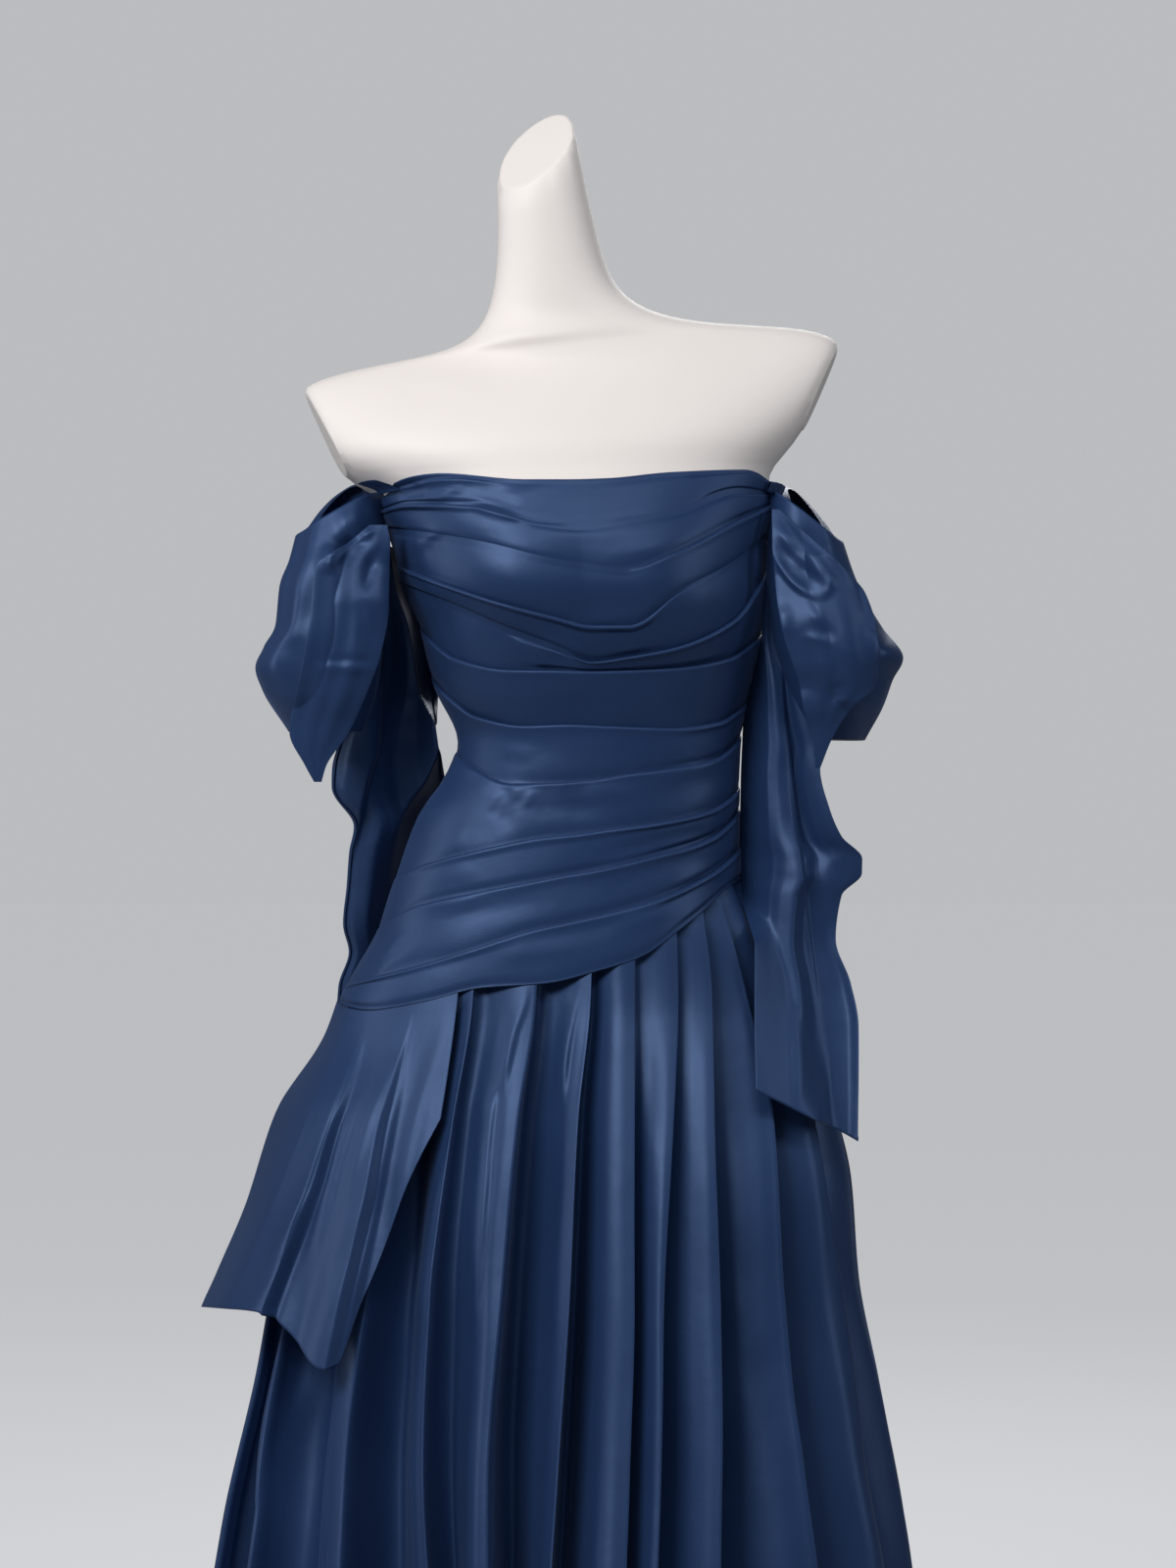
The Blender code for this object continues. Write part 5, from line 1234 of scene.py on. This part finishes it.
def tail_cloth(name, table, hem_rise, folds, lines, creases, finish):
    """A long gathered end. It hangs clear of the body: behind the hip, or in front of it."""
    count_rows, count = TAIL_SIZE
    way, depth_column = (-1, 3) if table[-1][3] < 0 else (1, 4)
    across = np.linspace(0, 1, count)[None, :]
    down = np.linspace(0, 1, count_rows)[:, None]
    top = table[0][0]
    hem = table[-1][0] + hem_rise * (1 - across)
    z = top + (hem - top) * down
    x = column(table, 1, z) * (1 - across) + column(table, 2, z) * across
    width = np.abs(column(table, 2, z) - column(table, 1, z))
    opened = np.minimum(1, width / TAIL_FULL_WIDTH)
    clearance = np.interp(opened, (0, 1), (TAIL_CLEARANCE["at_knot"], TAIL_CLEARANCE["where_wide"]))
    free = column(table, 3, z) * way
    held = body_depth(x, z, clearance, depth_column)
    y = way * (free + held + np.hypot(free - held, TAIL_CLEARANCE["soft"])) / 2
    y = y + fold_field(folds, down[:, 0], across[0]) * opened
    if way < 0:
        curl = np.clip(1 - across / TAIL_CURL["share"], 0, 1) ** 1.5
        curl = curl * np.clip((TAIL_CURL["from"] - z) / TAIL_CURL["over"], 0, 1)
        curl = curl * np.clip((z - TAIL_CURL["to"]) / TAIL_CURL["over"], 0, 1)
        x, y = x - TAIL_CURL["aside"] * curl, y + TAIL_CURL["back"] * curl
    plain = np.stack([x, y, z], axis=-1)
    lift = crease_height(plain, creases, np.ones(z.shape))
    lift = lift + ripple(x, z, SEEDS[name], *WAVES["tail"]) * opened + tucks(plain, lines)
    grid = plain - np.array([0, 1, 0]) * lift[..., None]
    edges = ("bottom", "left", "right")
    centre = (0.0, 0.6 if way < 0 else -0.6)
    cloth(name, grid, finish, edges=edges, centre=centre)


def strap_cloth(name, x_middle, wide, above, below, finish):
    """The folded tab at the bodice's top corner, as a small soft loop."""
    round_count, count = STRAP_SIZE
    x = x_middle + np.linspace(-0.5, 0.5, count) * wide
    right, left = column(BODY, 1, STRAP["height"]), column(BODY, 2, STRAP["height"])
    share = (x - right) / (left - right)
    round_it = np.linspace(0, tau, round_count, endpoint=False)[:, None]
    middle, half = (above - below) / 2, (above + below) / 2
    ends = 1 - 0.12 * np.abs(np.linspace(-1, 1, count)) ** 4
    edge = smooth(PLEAT_ACROSS, TOP_EDGE, share)
    z = edge.mean() + (edge - edge.mean()) * 0.15 + middle + half * power(np.cos(round_it), 0.7) * ends
    dent = STRAP["dent"] * np.sin(np.linspace(0, 7 * pi, count))
    half_thick = STRAP["thick"] / 2
    out = STRAP["off"] + half_thick + (half_thick + STRAP["plump"]) * power(np.sin(round_it), 0.8) * ends
    grid = body_point(turn_at(share)[None, :], z, BODICE_OUTSIDE + out + dent)
    mesh = sheet_mesh(name + "_cloth", np.concatenate([grid, grid[:1]]), flip=False)
    piece = add_piece(name + "_cloth", mesh, finish, [name])
    return piece


# ---------------------------------------------------------------- display form
def form_rings():
    """The torso under the dress, then the shoulders and the neck, as fine rings."""
    count_rings, count = FORM_SIZE
    angles = np.linspace(0, tau, count, endpoint=False)
    rings = []
    for z in np.linspace(FORM_BOTTOM, FORM_TOP_OF_TORSO, FORM_RINGS):
        narrower = FORM_NARROWING * max(0.0, WAIST_SEAM[-1][1] - z)
        for held_in in (FORM_WAIST, FORM_CHEST):
            narrower += held_in["slimmer"] * np.exp(-(((z - held_in["height"]) / held_in["tall"]) ** 2))
        rings.append(body_point(angles, z, FORM_INSIDE - narrower))
    for z, tilt, right, left, front, behind, y_middle in FORM_UPPER:
        across = power(np.cos(angles), 2 / ROUNDNESS)
        along = power(np.sin(angles), 2 / ROUNDNESS)
        half = (left - right) / 2
        y = y_middle + np.where(along > 0, -front, -behind) * along
        height = z + half * across * tan(radians(tilt))
        rings.append(np.stack([(left + right) / 2 + half * across, y, height], axis=-1))
    rings = np.array(rings)
    knots = np.arange(len(rings))
    place = np.linspace(0, len(rings) - 1, count_rings)
    fine = np.zeros((count_rings, count, 3))
    for i in range(count):
        for axis in range(3):
            fine[:, i, axis] = smooth(knots, rings[:, i, axis], place)
    free = np.clip((fine[1:-1, :, 2:] - FORM_SMOOTH["from"]) / FORM_SMOOTH["over"], 0, 1)
    for _ in range(FORM_SMOOTH["times"]):
        fine[1:-1] += free * ((fine[:-2] + fine[2:]) / 2 - fine[1:-1]) * 0.5
    x, z = fine[..., 0], fine[..., 2]
    apart = (x - FORM_THROAT["x"]) / FORM_THROAT["wide"]
    above = (z - FORM_THROAT["height"]) / FORM_THROAT["tall"]
    throat = FORM_THROAT["stands_out"] * np.exp(-(apart**2) - above**2)
    bones = crease_height(fine, FORM_BONES, -fine[..., 1] * 40)
    fine[..., 1] -= np.where(fine[..., 1] < 0.01, throat, 0) + bones
    return fine


def cut(bm, point, normal, keep_above):
    """Cuts the mesh by a plane, only in its part above a height, closes the cut and rounds its rim."""
    point, normal = Vector(point), Vector(normal).normalized()
    faces = [face for face in bm.faces if min(vert.co.z for vert in face.verts) > keep_above]
    edges = {edge for face in faces for edge in face.edges}
    verts = {vert for face in faces for vert in face.verts}
    result = bmesh.ops.bisect_plane(
        bm,
        geom=[*verts, *edges, *faces],
        plane_co=point,
        plane_no=normal,
        clear_outer=True,
    )
    rim = [item for item in result["geom_cut"] if isinstance(item, bmesh.types.BMEdge)]
    cap = bmesh.ops.edgeloop_fill(bm, edges=rim)["faces"][0]
    ring = list(cap.verts)
    bm.faces.remove(cap)
    middle = sum((vert.co for vert in ring), Vector()) / len(ring)
    radius = RIM["radius"]
    inward = {vert: (middle - vert.co).normalized() for vert in ring}
    moves = []
    for vert in bm.verts:
        deep = -(vert.co - point).dot(normal)
        if vert.co.z > keep_above and -1e-5 < deep < radius:
            way = middle - vert.co
            way = (way - normal * way.dot(normal)).normalized()
            angle = pi / 4 * (1 - max(deep, 0) / radius)
            sink = radius * (1 - sin(angle)) - deep
            moves.append((vert, way * radius * (1 - cos(angle)) - normal * sink))
    outer = ring
    for step in range(1, RIM["steps"] + 2):
        angle = pi / 4 * max(0, 1 - step / RIM["steps"])
        flat = 0 if step <= RIM["steps"] else radius
        aside, drop = radius * (1 - sin(angle)) + flat, radius * (1 - cos(angle))
        inner = [bm.verts.new(vert.co + inward[vert] * aside - normal * drop) for vert in ring]
        for i in range(len(ring)):
            j = (i + 1) % len(ring)
            bm.faces.new((outer[i], outer[j], inner[j], inner[i]))
        outer = inner
    bm.faces.new(outer)
    for vert, move in moves:
        vert.co += move


def form_body(finish):
    """The display form as one closed body, cut flat at the neck and at both arms."""
    bm = bmesh.new()
    rows = [[bm.verts.new(point) for point in ring] for ring in form_rings()]
    count = len(rows[0])
    for upper, lower in zip(rows, rows[1:]):
        for i in range(count):
            j = (i + 1) % count
            bm.faces.new((upper[i], upper[j], lower[j], lower[i]))
    bm.faces.new(rows[0])
    bm.faces.new(rows[-1])
    bmesh.ops.recalc_face_normals(bm, faces=bm.faces)
    cut(bm, NECK_CUT["point"], (-NECK_CUT["rise_x"], -NECK_CUT["rise_y"], 1), NECK_CUT["above"])
    for arm in ARM_CUTS:
        run = arm["top"][0] - arm["foot"][0]
        rise = arm["top"][1] - arm["foot"][1]
        normal = (arm["side"] * rise, -ARM_CUT_FACES_FRONT * rise, -arm["side"] * run)
        cut(bm, (arm["foot"][0], 0, arm["foot"][1]), normal, FORM_TOP_OF_TORSO - 0.001)
    bmesh.ops.recalc_face_normals(bm, faces=bm.faces)
    mesh = bpy.data.meshes.new("form_body")
    bm.to_mesh(mesh)
    bm.free()
    mesh.shade_smooth()
    piece = add_piece("form_body", mesh, finish, ["dress_form"])
    return piece


# ---------------------------------------------------------------- zip
def zip_strip(finish):
    """The concealed zip's tape, with its coil just showing between the two back panels."""
    z = np.linspace(BACK_TOP["centre"], float(seam_height(1.5 * pi)) + ZIP["above_seam"], 120)[:, None]
    aside = np.linspace(-1, 1, 5) * ZIP["half_tape"]
    x = column(ZIP_LINE, 1, z)
    y = body_depth(x, z, ZIP["outside"], 4)
    grid = np.stack(np.broadcast_arrays(x + aside, y - 0.0002 * np.abs(aside / ZIP["half_tape"]), z), axis=-1)
    strip = sheet_mesh("zip_strip", grid, flip=not faces_out(grid, (0, 0)))
    piece = add_piece("zip_strip", strip, finish, ["zip_tape"])
    bm = bmesh.new()
    heights = np.arange(z.min() + TOOTH["from_ends"], z.max() - TOOTH["from_ends"], ZIP["tooth_step"])
    for k, height in enumerate(heights):
        side = 1 if k % 2 else -1
        middle = float(column(ZIP_LINE, 1, height))
        back = float(body_depth(middle, height, ZIP["outside"], 4))
        made = bmesh.ops.create_uvsphere(bm, u_segments=8, v_segments=5, radius=0.5)
        bmesh.ops.scale(bm, vec=TOOTH["size"], verts=made["verts"])
        place = (middle + side * TOOTH["aside"], back + TOOTH["off"], height)
        bmesh.ops.translate(bm, vec=place, verts=made["verts"])
    mesh = bpy.data.meshes.new("zip_teeth")
    bm.to_mesh(mesh)
    bm.free()
    mesh.shade_smooth()
    teeth = add_piece("zip_teeth", mesh, finish, [])
    return piece, teeth


# ---------------------------------------------------------------- finishes
def new_material(name):
    made = bpy.data.materials.new(name)
    made.use_nodes = True
    return made, made.node_tree.nodes, made.node_tree.links, made.node_tree.nodes["Principled BSDF"]


def give(shader, values):
    for name, value in values.items():
        shader.inputs[name].default_value = value


def noise(nodes, links, coordinates, scale, detail, stretch=(1, 1, 1)):
    """A noise texture over these coordinates, stretched."""
    mapping = nodes.new("ShaderNodeMapping")
    mapping.inputs["Scale"].default_value = stretch
    links.new(coordinates, mapping.inputs["Vector"])
    texture = nodes.new("ShaderNodeTexNoise")
    texture.inputs["Scale"].default_value = scale
    texture.inputs["Detail"].default_value = detail
    links.new(mapping.outputs["Vector"], texture.inputs["Vector"])
    return texture.outputs["Fac"]


def ramp(nodes, links, factor, low, high, start=0.3, end=0.7):
    made = nodes.new("ShaderNodeValToRGB")
    made.color_ramp.elements[0].position = start
    made.color_ramp.elements[1].position = end
    made.color_ramp.elements[0].color = (*low, 1)
    made.color_ramp.elements[1].color = (*high, 1)
    links.new(factor, made.inputs["Fac"])
    return made.outputs["Color"]


def bumps(nodes, links, shader, layers):
    """Chains bumps, each (height output, distance in metres, strength), onto the shader."""
    normal = None
    for height, distance, strength in layers:
        made = nodes.new("ShaderNodeBump")
        made.inputs["Distance"].default_value = distance
        made.inputs["Strength"].default_value = strength
        links.new(height, made.inputs["Height"])
        if normal:
            links.new(normal, made.inputs["Normal"])
        normal = made.outputs["Normal"]
    links.new(normal, shader.inputs["Normal"])


def satin(name, low, high):
    """Heavy satin: a smooth face of long threads, with a soft blue shine and a faint crosswise grain."""
    made, nodes, links, shader = new_material(name)
    where = nodes.new("ShaderNodeTexCoord")
    cloth_uv, place = where.outputs["UV"], where.outputs["Object"]
    tone = noise(nodes, links, place, 7.0, 3.0)
    links.new(ramp(nodes, links, tone, low, high), shader.inputs["Base Color"])
    grain = noise(nodes, links, cloth_uv, 1.0, 2.0, (120, 1900, 1))
    threads = noise(nodes, links, cloth_uv, 1.0, 1.0, (2600, 90, 1))
    crumple = noise(nodes, links, place, 42.0, 3.0)
    bumps(nodes, links, shader, [(crumple, 0.0012, 0.35), (grain, 0.0002, 0.25), (threads, 0.0001, 0.15)])
    rough = nodes.new("ShaderNodeMapRange")
    rough.inputs["To Min"].default_value = SATIN["rough"] - 0.04
    rough.inputs["To Max"].default_value = SATIN["rough"] + 0.05
    links.new(noise(nodes, links, place, 18.0, 2.0), rough.inputs["Value"])
    links.new(rough.outputs["Result"], shader.inputs["Roughness"])
    shine = {"Specular IOR Level": SATIN["specular"], "Specular Tint": (*SATIN["tint"], 1)}
    sheen = {"Weight": SATIN["sheen"], "Roughness": SATIN["sheen_rough"], "Tint": (*SATIN["sheen_tint"], 1)}
    give(shader, shine)
    give(shader, {"Sheen " + name: value for name, value in sheen.items()})
    return made


def tape_finish():
    made, nodes, links, shader = new_material("woven_tape")
    where = nodes.new("ShaderNodeTexCoord")
    weave = noise(nodes, links, where.outputs["Object"], 1.0, 1.0, (900, 900, 2200))
    links.new(ramp(nodes, links, weave, TAPE["low"], TAPE["high"]), shader.inputs["Base Color"])
    bumps(nodes, links, shader, [(weave, 0.0002, 0.5)])
    give(shader, {"Roughness": TAPE["rough"]})
    return made


def form_finish():
    """Moulded shell with a smooth, faintly uneven matte skin."""
    made, nodes, links, shader = new_material("moulded_skin")
    where = nodes.new("ShaderNodeTexCoord")
    tone = noise(nodes, links, where.outputs["Object"], 5.0, 2.0)
    links.new(ramp(nodes, links, tone, FORM_SKIN["low"], FORM_SKIN["high"]), shader.inputs["Base Color"])
    pores = noise(nodes, links, where.outputs["Object"], 900.0, 2.0)
    soft = noise(nodes, links, where.outputs["Object"], 14.0, 2.0)
    bumps(nodes, links, shader, [(soft, 0.0008, 0.25), (pores, 0.0001, 0.2)])
    give(shader, {"Roughness": FORM_SKIN["rough"], "Specular IOR Level": FORM_SKIN["specular"]})
    return made


def steel_finish():
    made, nodes, links, shader = new_material("brushed_metal")
    where = nodes.new("ShaderNodeTexCoord")
    lines = noise(nodes, links, where.outputs["Object"], 1.0, 2.0, (30, 30, 2400))
    links.new(ramp(nodes, links, lines, STEEL["low"], STEEL["high"]), shader.inputs["Base Color"])
    bumps(nodes, links, shader, [(lines, 0.0001, 0.3)])
    give(shader, {"Metallic": 1.0, "Roughness": STEEL["rough"]})
    return made


# ---------------------------------------------------------------- stage, lights, camera
def floor(finish):
    half, z = FLOOR["half"], FLOOR["z"]
    corners = [(-half, -half, z), (half, -half, z), (half, half, z), (-half, half, z)]
    mesh = bpy.data.meshes.new("floor")
    mesh.from_pydata(corners, [], [(0, 1, 2, 3)])
    made = placed("floor", mesh)
    mesh.materials.append(finish)


def floor_finish():
    """A pale floor that runs out to the room's colour: towards the camera it glows a little."""
    made, nodes, links, shader = new_material("pale_floor")
    shader.inputs["Base Color"].default_value = (0.32, 0.32, 0.33, 1)
    shader.inputs["Roughness"].default_value = 0.9
    ray = nodes.new("ShaderNodeLightPath")
    glow = nodes.new("ShaderNodeMath")
    glow.operation = "MULTIPLY"
    glow.inputs[1].default_value = FLOOR_GLOW
    links.new(ray.outputs["Is Camera Ray"], glow.inputs[0])
    shader.inputs["Emission Color"].default_value = (*WORLD["seen"], 1)
    links.new(glow.outputs["Value"], shader.inputs["Emission Strength"])
    return made


def soft_light(name, place, aim, size, watts, colour=(1, 1, 1)):
    light = bpy.data.lights.new(name, "AREA")
    light.shape = "RECTANGLE"
    light.size, light.size_y = size
    light.energy = watts
    light.color = colour
    made = placed(name, light)
    made.location = place
    made.rotation_euler = (Vector(aim) - Vector(place)).to_track_quat("-Z", "Y").to_euler()


def studio():
    """A pale room: what lights the dress, and, for the camera, the colour that the floor runs out to."""
    world = bpy.data.worlds.new("studio")
    world.use_nodes = True
    nodes, links = world.node_tree.nodes, world.node_tree.links
    room = nodes["Background"]
    room.inputs["Color"].default_value = (*WORLD["colour"], 1)
    room.inputs["Strength"].default_value = WORLD["strength"]
    seen = nodes.new("ShaderNodeBackground")
    seen.inputs["Color"].default_value = (*WORLD["seen"], 1)
    seen.inputs["Strength"].default_value = WORLD["seen_strength"]
    ray = nodes.new("ShaderNodeLightPath")
    mix = nodes.new("ShaderNodeMixShader")
    links.new(ray.outputs["Is Camera Ray"], mix.inputs["Fac"])
    links.new(room.outputs["Background"], mix.inputs[1])
    links.new(seen.outputs["Background"], mix.inputs[2])
    links.new(mix.outputs["Shader"], nodes["World Output"].inputs["Surface"])
    bpy.context.scene.world = world
    for light in LIGHTS:
        soft_light(*light)


def photo_camera():
    data = bpy.data.cameras.new("photo")
    data.sensor_fit = "AUTO"
    data.sensor_width = 24.0
    data.lens = data.sensor_width * CAMERA["distance"] / CAMERA["frame_height"]
    made = placed("photo", data)
    made.location = (CAMERA["x"], -CAMERA["distance"], CAMERA["height"])
    made.rotation_euler = (pi / 2, 0, 0)
    bpy.context.scene.camera = made


def dress_up():
    blue = satin("satin_blue", SATIN["low"], SATIN["high"])
    bodice_front_cloth(blue)
    bodice_back_cloth("bodice_back_right", pi + 1e-6, blue)
    bodice_back_cloth("bodice_back_left", tau - 1e-6, blue)
    skirt_front_cloth(blue)
    skirt_back_cloth(blue)
    hip_drape_cloth(blue)
    sleeve_cloth("sleeve_right", SLEEVE_RIGHT, SLEEVE_RIGHT_LIFT, SLEEVE_RIGHT_CREASES, blue)
    sleeve_cloth("sleeve_left", SLEEVE_LEFT, SLEEVE_LEFT_LIFT, SLEEVE_LEFT_CREASES, blue)
    fan_cloth("fan_right", FAN_RIGHT, SLEEVE_RIGHT, FAN_RIGHT_CREASES, blue)
    fan_cloth("fan_left", FAN_LEFT, SLEEVE_LEFT, FAN_LEFT_CREASES, blue)
    tail_cloth("tail_right", TAIL_RIGHT, 0.0, TAIL_RIGHT_DEPTHS, TAIL_RIGHT_TUCKS, TAIL_RIGHT_CREASES, blue)
    left_tail = (TAIL_LEFT, TAIL_LEFT_HEM_RISE, TAIL_LEFT_DEPTHS, TAIL_LEFT_TUCKS, TAIL_LEFT_CREASES)
    tail_cloth("tail_left", *left_tail, blue)
    for name, (x_middle, wide, above, below) in STRAPS.items():
        strap_cloth(name, x_middle, wide, above, below, blue)
    form_body(form_finish())
    zip_strip(tape_finish())
    metal = steel_finish()
    for node in ("zip_slider", "zip_pull", "stand_pole", "stand_base"):
        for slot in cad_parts[node].material_slots:
            slot.material = metal


dress_up()
floor(floor_finish())
studio()
photo_camera()
bpy.context.scene.view_settings.view_transform = "Standard"
